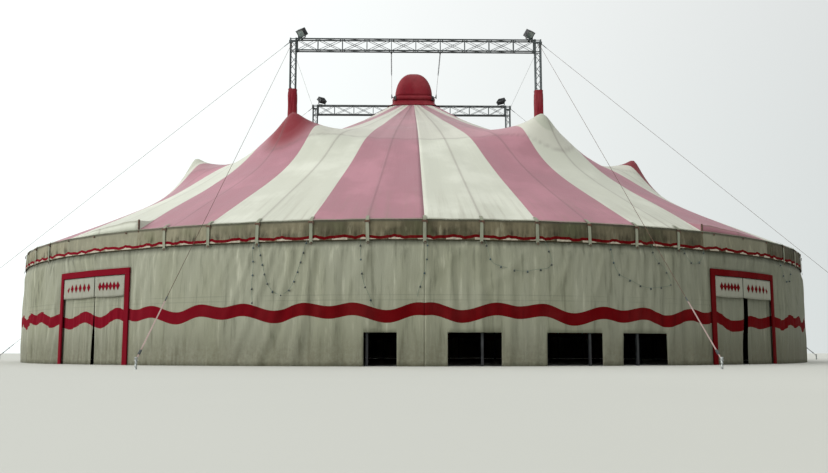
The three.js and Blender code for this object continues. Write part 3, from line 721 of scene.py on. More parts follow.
def valance_cloth(name, tint, stained):
    """The same coated cloth where it gathers mould: brown-green runs that collect at the hem, in
    patches from bay to bay; a newer piece is stained by a small share."""
    material, tree, shader = new_material(name, Roughness=0.75, Specular_IOR_Level=0.2)
    where = add(tree, "ShaderNodeTexCoord")
    place = where.outputs["Object"]
    axes = add(tree, "ShaderNodeSeparateXYZ", {"Vector": place})
    height = axes.outputs["Z"]
    runs = stretched_noise(tree, place, (1, 1, 0.25), 5.5, 7.0, 0.65)
    patches = stretched_noise(tree, place, (1, 1, 1), 0.9, 5.0)
    base = colour(tint)
    stain = between(tree, patches, 0.42, 0.56, 0.0, 0.85 * stained)
    aged = tinted(tree, stain, base, "#474231")
    # Lighter streaks: partly paler cloth, partly painted highlights of the gathers.
    aged = tinted(tree, between(tree, runs, 0.30, 0.46, 0.45, 0.0), aged, "#a09c84")
    # Painted light: lighter towards the tent's left, where the light comes from.
    sunlit = between(tree, axes.outputs["X"], -8.0, -1.0, 0.46 * stained, 0.0)
    aged = tinted(tree, sunlit, aged, "#a8a48c")
    # Painted shade: darker from the middle towards the tent's right.
    painted_shade_right = between(tree, axes.outputs["X"], 2.5, 5.0, 0.0, 0.30 * stained)
    aged = tinted(tree, painted_shade_right, aged, "#37352a")
    shaded = between(tree, axes.outputs["X"], 10.6, 11.4, 0.0, 0.4 * stained)
    aged = tinted(tree, shaded, aged, "#2c2a22")
    low = between(tree, height, 3.32, 3.62, 1.0, 0.0)
    mould = product(tree, between(tree, runs, 0.46, 0.66), between(tree, low, 0.0, 1.0, 0.25, 1.0))
    aged = tinted(tree, product(tree, mould, 0.85 * stained), aged, "#2b2619")
    green = product(tree, between(tree, patches, 0.50, 0.72), 0.35 * stained)
    aged = tinted(tree, green, aged, "#5a6242")
    # Darker along the valance's top, just under the roof's rim.
    hem = between(tree, height, 3.665, 3.70)
    aged = tinted(tree, product(tree, hem, 0.65), aged, "#45443a")
    tree.links.new(aged, shader.inputs["Base Color"])
    threads = product(tree, weave(tree, place), 0.1)
    relief = total(tree, product(tree, runs, 0.9), threads)
    bumped(tree, shader, relief, 0.02, 0.8)
    return material


def plain_cloth(name, tint, grime, amount=0.35, roughness=0.6, faded=0.22, shine=0.15, sunlit_tint=""):
    """Coated cloth of one colour, faded unevenly, with dust in the hollows of its runs, and where
    a bleached colour is given, with more of that towards the tent's left."""
    material, tree, shader = new_material(name, Roughness=roughness, Specular_IOR_Level=shine)
    place = add(tree, "ShaderNodeTexCoord").outputs["Object"]
    runs = stretched_noise(tree, place, (1, 1, 0.2), 6.0, 6.0, 0.6)
    patches = stretched_noise(tree, place, (1, 1, 1), 1.3, 6.0)
    base = colour(tint)
    lighter = mixed(tree, 0.45, base, linear("#c8a8a0", 1.0), "SCREEN")
    aged = mixed(tree, between(tree, patches, 0.35, 0.75, 0.0, faded), base, lighter)
    aged = tinted(tree, between(tree, runs, 0.48, 0.8, 0.0, amount), aged, grime)
    # Painted light: towards the tent's left the cloth takes more of the sunlit tint.
    if sunlit_tint:
        axes = add(tree, "ShaderNodeSeparateXYZ", {"Vector": place})
        share = between(tree, axes.outputs["X"], -10.5, -1.0, 0.60, 0.0)
        aged = tinted(tree, share, aged, sunlit_tint)
    tree.links.new(aged, shader.inputs["Base Color"])
    threads = product(tree, weave(tree, place), 0.15)
    relief = total(tree, product(tree, runs, 0.8), threads)
    bumped(tree, shader, relief, 0.012, 0.6)
    return material


def zinc_steel(name, tint="zinc"):
    """Hot-dip galvanised steel tube gone dull: zinc spangle, grey bloom and a few rust stains."""
    material, tree, shader = new_material(name, Metallic=0.75, Roughness=0.5)
    place = add(tree, "ShaderNodeTexCoord").outputs["Object"]
    spangle = add(tree, "ShaderNodeTexVoronoi", {"Vector": place, "Scale": 60.0}).outputs["Color"]
    spangle = add(tree, "ShaderNodeSeparateColor", {"Color": spangle}).outputs[0]
    bloom = stretched_noise(tree, place, (1, 1, 0.6), 2.4, 6.0)
    rust = stretched_noise(tree, place, (1, 1, 0.4), 7.0, 8.0, 0.7)
    base = colour(tint)
    aged = tinted(tree, between(tree, spangle, 0.0, 1.0, 0.0, 0.22), base, "#8f9696")
    aged = tinted(tree, between(tree, bloom, 0.4, 0.7, 0.0, 0.5), aged, "#565c5c")
    aged = tinted(tree, between(tree, rust, 0.63, 0.8, 0.0, 0.5), aged, "#5d4436")
    tree.links.new(aged, shader.inputs["Base Color"])
    rough = between(tree, bloom, 0.3, 0.7, 0.42, 0.68, smooth=False)
    tree.links.new(rough, shader.inputs["Roughness"])
    bumped(tree, shader, rust, 0.002, 0.4)
    return material


def wire_rope(name):
    """Galvanised wire rope laid from strands: a bright, ribbed metal with dark grease between.
    Its ribs are drawn coarser than they are, to show."""
    material, tree, shader = new_material(name, Metallic=0.7, Roughness=0.42)
    place = add(tree, "ShaderNodeTexCoord").outputs["Object"]
    ribs = add(
        tree,
        "ShaderNodeTexWave",
        {"Vector": place, "Scale": 8.0, "Distortion": 0.6},
        bands_direction="DIAGONAL",
    ).outputs["Fac"]
    grease = stretched_noise(tree, place, (1, 1, 1), 3.0, 5.0)
    aged = tinted(tree, ribs, linear("#7d8281", 1.0), "#bcc0be")
    aged = tinted(tree, between(tree, grease, 0.45, 0.7, 0.0, 0.5), aged, "#77756c")
    tree.links.new(aged, shader.inputs["Base Color"])
    bumped(tree, shader, ribs, 0.003, 0.7)
    return material


def black_coat(name, tint="black", roughness=0.45):
    """Powder-coated cast aluminium: a fine orange-peel relief, chalky where the sun has bleached it."""
    material, tree, shader = new_material(name, Roughness=roughness, Specular_IOR_Level=0.45)
    place = add(tree, "ShaderNodeTexCoord").outputs["Object"]
    peel = stretched_noise(tree, place, (1, 1, 1), 180.0, 2.0)
    chalk = stretched_noise(tree, place, (1, 1, 1), 5.0, 6.0)
    base = colour(tint)
    aged = tinted(tree, between(tree, chalk, 0.45, 0.75, 0.0, 0.3), base, "#54575a")
    tree.links.new(aged, shader.inputs["Base Color"])
    bumped(tree, shader, peel, 0.0008, 0.5)
    return material


def rusty_steel(name):
    """Forged steel stakes and shackles with a skin of brown rust worn bright on the heads."""
    material, tree, shader = new_material(name, Metallic=0.4, Roughness=0.7)
    place = add(tree, "ShaderNodeTexCoord").outputs["Object"]
    scale = stretched_noise(tree, place, (1, 1, 1), 22.0, 8.0, 0.7)
    wear = stretched_noise(tree, place, (1, 1, 1), 8.0, 5.0)
    aged = mixed(
        tree, between(tree, scale, 0.35, 0.65), linear("#6a4a37", 1.0), linear("#3f342e", 1.0)
    )
    aged = tinted(tree, between(tree, wear, 0.62, 0.72, 0.0, 0.7), aged, "#8c8a85")
    tree.links.new(aged, shader.inputs["Base Color"])
    bumped(tree, shader, scale, 0.003, 0.7)
    return material


def lamp_glass(name):
    """Toughened float glass over a floodlight's reflector: grey-green and glossy, dusty low down."""
    material, tree, shader = new_material(
        name, Roughness=0.12, IOR=1.52, Specular_IOR_Level=0.6, Coat_Weight=0.5
    )
    place = add(tree, "ShaderNodeTexCoord").outputs["Object"]
    dust = stretched_noise(tree, place, (1, 1, 1), 14.0, 6.0)
    aged = mixed(
        tree, between(tree, dust, 0.4, 0.7, 0.0, 0.6), linear("#6d7a78", 1.0), linear("#8b9189", 1.0)
    )
    tree.links.new(aged, shader.inputs["Base Color"])
    return material


def bulb_glass(name):
    """Blown, lacquered lamp glass: dark green-blue, shiny, each a little dusty."""
    material, tree, shader = new_material(name, Roughness=0.18, IOR=1.5, Coat_Weight=0.4)
    place = add(tree, "ShaderNodeTexCoord").outputs["Object"]
    batch = stretched_noise(tree, place, (1, 1, 1), 3.1, 1.0)
    aged = mixed(
        tree, between(tree, batch, 0.42, 0.58), linear("#1a2624", 1.0), linear("#22383f", 1.0)
    )
    tree.links.new(aged, shader.inputs["Base Color"])
    return material


def cable_rubber(name):
    """Extruded rubber cable, dark green, chalky on top."""
    material, tree, shader = new_material(name, Roughness=0.6, Specular_IOR_Level=0.4)
    place = add(tree, "ShaderNodeTexCoord").outputs["Object"]
    chalk = stretched_noise(tree, place, (1, 1, 1), 11.0, 5.0)
    aged = mixed(
        tree, between(tree, chalk, 0.4, 0.7), linear("#3f5a4c", 1.0), linear("#5f7266", 1.0)
    )
    tree.links.new(aged, shader.inputs["Base Color"])
    bumped(tree, shader, chalk, 0.001, 0.5)
    return material


MATERIALS = {
    "roof_red": lambda: roof_cloth("coated_cloth_bleached_red", "roof_red", True),
    "roof_cream": lambda: roof_cloth("coated_cloth_cream", "roof_cream", False),
    "wall": lambda: wall_cloth("coated_cloth_wall", "wall"),
    "valance": lambda: valance_cloth("coated_cloth_mouldy_valance", "valance", 1.0),
    "washed": lambda: valance_cloth("coated_cloth_washed_valance", "washed", 0.25),
    "binding": lambda: plain_cloth("woven_hem_binding", "binding", "#1d1a12", 0.4, 0.85, 0.1, 0.1),
    # The band's red gets painted light towards the tent's left.
    "band": lambda: plain_cloth(
        "coated_cloth_dark_red_band", "band_red", "#2e0608", 0.35, 0.9, 0.03, 0.03, sunlit_tint="#7d1226"
    ),
    "pale": lambda: plain_cloth("coated_cloth_pale_edging", "trim_pale", "#6e6250", 0.6),
    "cap": lambda: plain_cloth("coated_cloth_cap_red", "cap_red", "#4a1a20", 0.35, 0.55, 0.12),
    "banner": lambda: plain_cloth("printed_cloth_banner", "banner", "#77735f", 0.5, 0.6, 0.1),
    "lashing": lambda: plain_cloth("woven_polyester_lashing", "strap_pink", "#6b5a52", 0.5, 0.8),
    "zinc": lambda: zinc_steel("galvanised_steel_dull"),
    "rope": lambda: wire_rope("galvanised_wire_rope"),
    "black": lambda: black_coat("powder_coated_aluminium_black"),
    "webbing": lambda: plain_cloth("woven_polyester_webbing", "webbing", "#4a4a3c", 0.6, 0.8),
    "rust": lambda: rusty_steel("forged_steel_rusty"),
    "glass": lambda: lamp_glass("toughened_glass_dusty"),
    "bulb": lambda: bulb_glass("lacquered_bulb_glass"),
    "cable": lambda: cable_rubber("rubber_cable_green"),
}
made = {}


def material(key):
    """A material of the list, made once."""
    if key not in made:
        made[key] = MATERIALS[key]()
    return made[key]


# Roof

RING_SEAM = 8.7
RING_SEAM_BULGE = 1.2
CAP_REACH = 1.15


def ring_seam_radius(azimuth):
    """The seam round the upper roof, pushed outwards below each peak."""
    radius = RING_SEAM + 0 * azimuth
    for peak_azimuth, peak_radius, _ in all_peaks():
        across = peak_radius * np.sin(np.radians(azimuth - peak_azimuth))
        facing = np.cos(np.radians(azimuth - peak_azimuth)) > 0
        radius = radius + facing * RING_SEAM_BULGE * np.exp(-((across / PEAK_WIDTH) ** 2))
    return radius


def brow(radius, azimuth):
    """The lift of the roof's edge over an entrance, whose last rows hang down as a fascia."""
    away = from_front(azimuth)
    short, full, down = BROW
    across = ramp(away, short, short + 0.06) * np.clip((down - away) / (down - full), 0, 1)
    outward = np.clip((radius - BROW_INNER) / (RIM - BROW_INNER), 0, 1) * (radius < FASCIA)
    share = np.where((azimuth + 180) % 360 > 180, BROW_SHARE[1], BROW_SHARE[-1])
    return settings().sizes.brow_lift * share * across * outward


# How far the front's seams between the front peaks and the side peaks curve towards the sides, in
# degrees at each radius; the first two end where the lifted edge of an entrance starts and ends
SEAM_CURVES = {
    3 * STRIPE: (
        (5.0, 8.0, 10.2, 11.2, 12.5, 13.75, 15.0),
        (0.0, 0.9, 2.0, 2.2, 1.1, -0.3, BROW[0] - 3 * STRIPE),
    ),
    4 * STRIPE: (
        (4.5, 7.5, 9.6, 10.8, 12.4, 14.0, 15.0),
        (0.0, 1.6, 2.9, 3.2, 2.6, 1.3, BROW[2] - 4 * STRIPE),
    ),
    5 * STRIPE: ((4.5, 7.0, 9.0, 10.2, 12.0, 13.6, 15.0), (0.0, 1.2, 2.6, 2.8, 1.5, 0.4, 0.0)),
}


def drawn_aside(radius, azimuth):
    """The azimuth, at a radius, of the line of cloth that starts at another azimuth."""
    turn = (azimuth + 180) % 360 - 180
    away = np.abs(turn)
    moved = 0 * away * radius
    for seam, curve in SEAM_CURVES.items():
        off = np.maximum(0, np.abs(away - seam - 0.03) - 0.03)
        moved = moved + np.clip(1 - off / (STRIPE - 0.06), 0, 1) * np.interp(radius, *curve)
    return azimuth + np.sign(turn) * moved


def side_tips(radius, azimuth):
    """The small rise of the side peaks' tips, where each pole's head pushes the cloth up."""
    rise = 0 * radius * azimuth
    for peak_azimuth, peak_radius, _ in all_peaks():
        if peak_radius == SIDE_PEAK[1]:
            turn = np.radians(azimuth - peak_azimuth)
            away = np.hypot(radius * np.sin(turn), radius * np.cos(turn) - peak_radius)
            rise = rise + SIDE_TIP_RISE * np.exp(-((away / SIDE_TIP_REACH) ** 2))
    return rise


def web_share(azimuth):
    """1 on the radial webs and 0 midway between them."""
    return np.abs(np.cos(np.pi * azimuth / FACET)) ** 1.5


def make_canopy():
    """The roof's four quarters: one curved skin of striped cloth, laced quarter to quarter."""
    sizes = settings().sizes
    radii = np.concatenate(
        [
            stops(COLLAR_RADIUS, 7.4, 0.22),
            stops(7.4, 11.4, 0.10)[1:],
            stops(11.4, 14.4, 0.20)[1:],
            stops(14.4, TENT_RADIUS, 0.10, kept=(14.9, RIM))[1:],
        ]
    )[::-1]
    for corner, (sx, sy, start) in CORNERS.items():
        brows = [side * (3 * STRIPE + b) % 360 for side in (1, -1) for b in (0.0, 0.06)]
        azimuths = stops(start, start + 90, FACET / 10, kept=brows)

        def place(seam, radius):
            azimuth = drawn_aside(radius, seam)
            height = canopy_height(drawn_in(radius, azimuth), azimuth)
            span = (radius - COLLAR_RADIUS) / (TENT_RADIUS - COLLAR_RADIUS)
            slack = np.sin(np.pi * np.clip(span, 0, 1)) ** 0.5
            height = height - sizes.web_rise * (1 - web_share(seam)) * (0.4 + 0.6 * slack)
            height = height + brow(radius, drawn_aside(TENT_RADIUS, seam)) + side_tips(radius, azimuth)
            points = ring_point(on_flat(radius, azimuth), azimuth, height)
            creases = ripple(points * (1, 1, 0.3), 1.6, 3.7) * 0.014
            radial = ripple(ring_point(3.0 + 0 * radius, azimuth, radius * 0.12), 0.16, 9.1) * 0.009
            edge = ramp(radius, 13.4, 14.9) * ramp(-radius, -15.0, -14.97)
            gather = ripple(ring_point(3.0 + 0 * radius, azimuth, 0 * radius), 0.05, 1.3) * 0.016
            inner = ramp(-radius, -15.0, -14.6) * ramp(radius, COLLAR_RADIUS, 1.6)
            points[..., 2] += (creases + radial) * inner + gather * edge
            return points

        name = f"canopy_sheet_{corner}"
        sheet = cloth_grid(name, azimuths, radii, place)
        _, column = grid_cells(sheet, len(azimuths))
        middle = (azimuths[column] + azimuths[column + 1]) / 2
        stripe = np.floor(middle / STRIPE).astype(int)
        sheet.data.materials.append(material("roof_red"))
        sheet.data.materials.append(material("roof_cream"))
        sheet.data.polygons.foreach_set("material_index", (stripe % 2 == 0).astype(np.int32))
        seam, radius = (grid.reshape(-1) for grid in np.meshgrid(azimuths, radii))
        paint_roof(sheet, seam, drawn_aside(radius, seam), radius)
        cut_away(
            sheet,
            lambda middle, normal: max(abs(middle.x - sx * MAST), abs(middle.y - sy * MAST)) < 0.15,
        )
        thickened(sheet)
        finished(
            sheet,
            "root",
            "canopy_fabric",
            material("roof_red"),
            material("roof_cream"),
            replaced=(f"canopy_{corner}",),
        )


def paint_roof(sheet, line, azimuth, radius):
    """Writes the roof's UV map, in seams and metres, and where its caps and its ring seam lie."""
    points = ring_point(on_flat(radius, azimuth), azimuth, canopy_height(radius, azimuth))
    caps = [np.zeros(len(points)), np.zeros(len(points))]
    for peak_azimuth, peak_radius, _ in all_peaks():
        top = ring_point(peak_radius, np.array(peak_azimuth), 0.0)
        away = np.hypot(points[:, 0] - top[0], points[:, 1] - top[1])
        red = int(peak_azimuth // STRIPE) % 2
        caps[red] = np.maximum(caps[red], 1 - away / (2 * CAP_REACH))
    seam = ring_seam_radius(azimuth)
    values = {
        "pale_cap": caps[0],
        "cap": caps[1],
        # The painted light of the upper roof, above the ring seam.
        "above_ring": ramp(-radius, -seam - 0.12, -seam + 0.12),
        "ring_seam": np.exp(-(((radius - seam) / 0.05) ** 2)),
    }
    for name, share in values.items():
        attribute = sheet.data.attributes.new(name, "FLOAT", "POINT")
        attribute.data.foreach_set("value", share.astype(np.float32))
    corners = np.zeros(len(sheet.data.loops), dtype=np.int32)
    sheet.data.loops.foreach_get("vertex_index", corners)
    uv = np.stack([line[corners] / FACET, radius[corners]], axis=-1)
    layer = sheet.data.uv_layers[0] if sheet.data.uv_layers else sheet.data.uv_layers.new()
    layer.data.foreach_set("uv", uv.reshape(-1).astype(np.float32))


# Side wall and valance

# The band's middle line over one stripe: degrees and height above its mean
BAND_KEYS = [(0.0, 0.065), (3.0, -0.129), (6.5, 0.065), (8.7, -0.025), (STRIPE, 0.065)]
BAND_START = 0.6
# How far a row may lie off the band's edge and still count as on it
ROW_SLACK = 1e-6


def band_wave(azimuth):
    """The height of the wavy band's middle above its mean, mirrored about the front; the left
    front is sewn a little higher."""
    along = (from_front(azimuth) - BAND_START) % STRIPE
    wave = np.zeros_like(along)
    for (a0, h0), (a1, h1) in zip(BAND_KEYS, BAND_KEYS[1:]):
        inside = (along >= a0) & (along <= a1)
        share = (1 - np.cos(np.pi * (along - a0) / (a1 - a0))) / 2
        wave = np.where(inside, h0 + (h1 - h0) * share, wave)
    turn = (azimuth + 180) % 360 - 180
    return wave + 0.07 * ramp(-turn, -17.0, -9.0) * ramp(turn, -150.0, -90.0)


def band_edges():
    """The heights of the wavy band's lower and upper edge, before its wave."""
    sizes = settings().sizes
    return sizes.band_middle - sizes.band_width / 2, sizes.band_middle + sizes.band_width / 2


def sew_band(sheet, rows, columns):
    """Gives the faces between the band's edges the band's cloth and all others the wall's."""
    low, high = band_edges()
    row, _ = grid_cells(sheet, columns)
    base = rows[:, 0]
    band = (base[row] >= low - ROW_SLACK) & (base[row + 1] <= high + ROW_SLACK)
    sheet.data.materials.append(material("wall"))
    sheet.data.materials.append(material("band"))
    sheet.data.polygons.foreach_set("material_index", band.astype(np.int32))


def wall_rows(top):
    """Rows up a hanging cloth: each height, and its share of the band's wave."""
    low, high = band_edges()
    rows = [(z, 0.0) for z in stops(0.0, VENT_HEIGHT, 0.14)]
    rows += [(low - 0.16, 0.45), (low, 1.0), (low + 0.1, 1.0), (high - 0.1, 1.0), (high, 1.0)]
    rows += [(high + 0.16, 0.45)]
    rows += [(z, 0.0) for z in stops(1.84, top, 0.13, kept=(HEADER_FOOT, DOOR_HEIGHT, 3.2))]
    return np.array(rows)


def wall_folds(arc, height):
    """Soft, uneven vertical folds, finer near the rail and broader at the foot."""
    drift = 0.9 * np.sin(0.37 * arc) + 0.7 * np.sin(0.83 * arc + 1.3)
    lean = 0.13 + 0.20 * ramp(-((arc + 24) % 48 - 24), 3.0, 7.0)
    slant = (0.16 * np.sin(0.9 * arc + 0.4) - lean) * (height - 1.6)
    s = arc + slant
    high = ramp(height, 1.2, 3.2)
    broad = np.sin(2 * np.pi * s / 0.71 + 2 * drift) * (0.55 + 0.45 * np.sin(0.61 * arc + 2.0))
    middle = np.sin(2 * np.pi * s / 0.37 + 3 * drift) * (0.5 + 0.5 * np.sin(1.13 * arc))
    fine = np.abs(np.sin(np.pi * s / 0.23 + 2 * drift)) * (0.5 + 0.5 * np.sin(1.7 * arc + 0.9))
    swing = arc - 0.70 * (height - 1.6) + 0.25 * np.sin(0.9 * height + arc)
    drawn = np.maximum(0, np.sin(2 * np.pi * swing / 1.37 + 2.5 * drift)) ** 6
    drawn = drawn * (0.5 + 0.5 * np.sin(0.47 * arc + 0.8)) * ramp(height, 1.5, 1.9)
    folds = 0.55 * broad * (1 - 0.5 * high) + 0.35 * middle + 0.35 * (fine - 0.5) * high
    return folds + 0.65 * drawn


def make_side_wall():
    """The side wall: four quarters of hanging cloth with a wavy band, doorways and vents."""
    sizes = settings().sizes
    rows = wall_rows(round(WALL_HIGH[2], 2) - 0.02)
    openings = [(a % 360, b % 360, VENT_HEIGHT) for a, b in VENTS]
    openings += [(*DOOR, DOOR_HEIGHT), (360 - DOOR[1], 360 - DOOR[0], DOOR_HEIGHT)]
    edges = [edge for a, b, _ in openings for edge in (a, b)]
    for corner, (_, _, start) in CORNERS.items():
        azimuths = stops(start, start + 90, FACET / 30, kept=edges)

        def place(azimuth, row):
            base, share = rows[row.astype(int), 0], rows[row.astype(int), 1]
            height = base + share * band_wave(azimuth)
            arc = np.radians(azimuth) * WALL_RADIUS
            free = ramp(-height, -3.24, -2.9)
            calm = np.ones_like(azimuth)
            for edge in (*DOOR, 360 - DOOR[0], 360 - DOOR[1]):
                calm = np.minimum(calm, ramp(np.abs(azimuth - edge), 0.1, 1.1))
            laced = ramp(np.minimum(azimuth - start, start + 90 - azimuth), 0.0, 0.8)
            away = from_front(azimuth)
            beside = ramp(-np.maximum(DOOR[0] - away, away - DOOR[1]), -1.0, 0.0)
            flat = 1 - beside * ramp(-height, -3.15, -2.80)
            depth = sizes.wall_fold * (0.30 + 0.70 * free) * (0.15 + 0.85 * calm) * flat
            out = free * (0.018 + 0.022 * np.sin(np.pi * np.clip(height / 3.3, 0, 1))) * calm * flat
            grain = ripple(ring_point(8.0 + 0 * height, azimuth, height * 0.6), 0.35, 5.2)
            folds = (wall_folds(arc, height) + 0.35 * grain) * (0.2 + 0.8 * laced)
            radius = WALL_RADIUS + 0.004 + out + depth * (0.9 + folds)
            return ring_point(on_flat(radius, azimuth), azimuth, height)

        name = f"side_wall_sheet_{corner}"
        sheet = cloth_grid(name, azimuths, np.arange(len(rows)), place)
        sew_band(sheet, rows, len(azimuths))

        def is_open(middle, normal):
            azimuth = math.degrees(math.atan2(middle.x, -middle.y)) % 360
            return any(a < azimuth < b and middle.z < top for a, b, top in openings)

        cut_away(sheet, is_open)
        thickened(sheet)
        finished(
            sheet,
            "root",
            "wall_fabric",
            material("wall"),
            material("band"),
            replaced=(f"side_wall_{corner}",),
        )


TRIM_MIDDLE = 3.292
TRIM_WAVE = 0.022
TRIM_WIDTH = 0.076
WAVES_IN_A_BAY = 2
VALANCE_CLOTHS = ["valance", "band", "pale", "washed", "binding"]
# Rows up the valance: height and share of the trim's wave
VALANCE_ROWS = np.array(
    [
        (3.196, 0.0),
        (3.222, 0.0),
        (3.226, 0.1),
        (TRIM_MIDDLE - TRIM_WIDTH / 2, 1.0),
        (TRIM_MIDDLE, 1.0),
        (TRIM_MIDDLE + TRIM_WIDTH / 2, 1.0),
        (3.370, 0.6),
        (3.430, 0.2),
        (3.500, 0.0),
        (3.570, 0.0),
        (3.640, 0.0),
        (3.700, 0.0),
        (3.735, 0.0),
    ]
)


def make_valance():
    """The valance under the eave: gathered cloth with a wavy red trim, a pale edging and a bound
    hem; over the entrances a smoother, newer piece."""
    sizes = settings().sizes
    for corner, (_, _, start) in CORNERS.items():
        azimuths = stops(start, start + 90, FACET / 40)

        def place(azimuth, row):
            base, share = VALANCE_ROWS[row.astype(int), 0], VALANCE_ROWS[row.astype(int), 1]
            bay = azimuth / FACET
            phase = WAVES_IN_A_BAY * (bay + 0.07 * np.sin(9 * bay) + 0.05 * np.sin(3.1 * bay))
            trim = TRIM_WAVE * (np.cos(2 * np.pi * phase) + 0.3 * np.cos(6 * np.pi * phase + bay))
            uneven = 0.010 * ripple(ring_point(4.0 + 0 * base, azimuth, 0 * base), 0.3, 7.7)
            height = base + share * trim + uneven * ramp(-base, -3.5, -3.3)
            away = from_front(azimuth)
            taut = ramp(away, BROW[0], BROW[0] + 0.3) * ramp(-away, -BROW[2], 0.3 - BROW[2])
            arc = np.radians(azimuth) * TENT_RADIUS
            pinned = 1 - 0.75 * web_share(azimuth) ** 8
            low = ramp(-base, -3.72, -3.4)
            folds = 0.8 * np.sin(2 * np.pi * arc / 0.31 + 2.2 * np.sin(0.7 * arc))
            folds = folds * (0.6 + 0.4 * np.sin(1.3 * arc + 0.5))
            folds = folds + 0.6 * np.sin(2 * np.pi * arc / 0.145 + 2.0 * np.sin(0.5 * arc + 2))
            depth = sizes.valance_fold * pinned * (0.15 + 0.85 * low) * (1 - 0.8 * taut)
            flare = 0.016 * low * pinned
            radius = TENT_RADIUS - 0.002 + flare + depth * folds
            return ring_point(on_flat(radius, azimuth), azimuth, height)

        name = f"valance_sheet_{corner}"
        sheet = cloth_grid(name, azimuths, np.arange(len(VALANCE_ROWS)), place)
        row, column = grid_cells(sheet, len(azimuths))
        away = from_front((azimuths[column] + azimuths[column + 1]) / 2)
        newer = (away > BROW[0]) & (away < BROW[2])
        beads = np.cos(2 * np.pi * WAVES_IN_A_BAY * azimuths[column] / FACET) > -0.3
        rules = [
            # The hem's dark binding: partly the webbing's own colour, partly painted shadow under the hem.
            (row < 1, "binding"),
            ((row < 3) & beads, "pale"),
            (row < 3, "valance"),
            (row < 5, "band"),
            (newer, "washed"),
        ]
        tests, chosen = zip(*rules)
        places = [VALANCE_CLOTHS.index(key) for key in chosen]
        finish = np.select(list(tests), places, VALANCE_CLOTHS.index("valance"))
        kinds = [material(key) for key in VALANCE_CLOTHS]
        for kind in kinds:
            sheet.data.materials.append(kind)
        sheet.data.polygons.foreach_set("material_index", finish.astype(np.int32))
        thickened(sheet)
        finished(sheet, "root", "valance_fabric", *kinds, replaced=(f"valance_{corner}",))


def ribbon(name, path, width, thickness=0.004):
    """A flat strap along a path in the plane X = 0, centred on it."""
    steps = np.arange(len(path))
    points = np.array(path, dtype=float)

    def place(across, step):
        at = points[step.astype(int)]
        return np.stack([across, at[..., 0], at[..., 1]], axis=-1)

    strap = cloth_grid(name, np.array([-width / 2, 0, width / 2]), steps, place)
    modified(strap, "SOLIDIFY", thickness=thickness, offset=1.0)
    return strap


def make_eave_straps():
    """Over each side pole a webbing strap with a ring above and a hook below, the eave's rope, and
    by the entrances small fasteners and the post that ends the lifted edge."""
    sizes = settings().sizes
    outer = TENT_RADIUS + 0.022
    path = [
        (-outer + 0.20, EAVE_TOP + 0.125),
        (-outer + 0.10, EAVE_TOP + 0.075),
        (-outer + 0.03, EAVE_TOP + 0.035),
        (-outer, EAVE_TOP - 0.01),
        (-outer - 0.012, EAVE_TOP - 0.12),
        (-outer - 0.014, EAVE_TOP - 0.32),
        (-outer - 0.012, EAVE_TOP - 0.50),
        (-outer - 0.010, EAVE_TOP - 0.585),
    ]
    strap = ribbon("strap", path, sizes.strap)
    buckle = block((sizes.strap + 0.05, 0.018, 0.055), (0, -outer - 0.014, EAVE_TOP - 0.05), 0.006)
    keeper = block((0.035, 0.026, 0.08), (0.055, -outer - 0.008, EAVE_TOP - 0.07), 0.006)
    fastener = block((0.05, 0.03, 0.045), (0, -outer - 0.004, EAVE_TOP - 0.06), 0.006)
    fastener.data.materials.append(material("rust"))
    seat(fastener)
    deselect()
    bpy.ops.mesh.primitive_torus_add(
        major_radius=0.024,
        minor_radius=0.006,
        major_segments=14,
        minor_segments=6,
        location=(0.01, -outer - 0.012, EAVE_TOP - 0.612),
        rotation=(math.pi / 2, 0, 0),
    )
    hook = bpy.context.object
    tail = block((0.04, 0.018, 0.035), (0.01, -outer - 0.012, EAVE_TOP - 0.582), 0.005)
    webbing = joined([strap], "strap")
    webbing.data.materials.append(material("webbing"))
    metal = joined([buckle, keeper, hook, tail], "buckle")
    metal.data.materials.append(material("rust"))
    whole = joined([webbing, metal], "strap")
    for corner, (sx, sy, start) in CORNERS.items():
        copies = []
        for k in range(round(90 / FACET)):
            azimuth = start + k * FACET
            lean = Matrix.Rotation(math.radians(1.5 * math.sin(7.0 * azimuth)), 4, "Y")
            centre = Matrix.Translation((0, 0, EAVE_TOP))
            sway = centre @ lean @ centre.inverted()
            by_door = BROW[0] < from_front(azimuth) < BROW[2]
            copies.append(twin(fastener if by_door else whole, f"strap_{k}", turned(azimuth) @ sway))
        if sy < 0:
            at = sx * BROW[0]
            foot, top = EAVE_TOP - 0.06, EAVE_TOP + sizes.brow_lift * BROW_SHARE[sx] + 0.03
            ends = [
                Vector(ring_point(on_flat(FASCIA, np.array(at)), np.array(at), z)) for z in (foot, top)
            ]
            post = rod(*ends, 0.055, 8)
            post.data.materials.append(material("rust"))
            copies.append(post)
        straps = joined(copies, f"eave_straps_{corner}")
        finished(straps, "root", "galvanised_steel", material("webbing"), material("rust"))
        steps = stops(start, start + 90, FACET / 4)
        rope = rope_along(
            f"eave_rope_{corner}",
            [ring_point(on_flat(TENT_RADIUS + 0.006, a), a, EAVE_TOP + 0.004) for a in steps],
            0.016,
        )
        finished(rope, "root", "valance_fabric", material("webbing"))
    bpy.data.objects.remove(whole)
    bpy.data.objects.remove(fastener)


def rope_along(name, points, diameter, sides=8):
    """A mesh tube of one radius along points, closed at both ends."""
    curve = bpy.data.curves.new(name, "CURVE")
    curve.dimensions = "3D"
    curve.bevel_depth = diameter / 2
    curve.bevel_resolution = max(0, sides // 4 - 1)
    curve.use_fill_caps = True
    spline = curve.splines.new("POLY")
    spline.points.add(len(points) - 1)
    for point, at in zip(spline.points, points):
        point.co = (*at, 1.0)
    piece = bpy.data.objects.new(name, curve)
    bpy.context.scene.collection.objects.link(piece)
    pick(piece)
    bpy.ops.object.convert(target="MESH")
    return smoothed(closed_up(bpy.context.object, 0.0002))


# Entrances


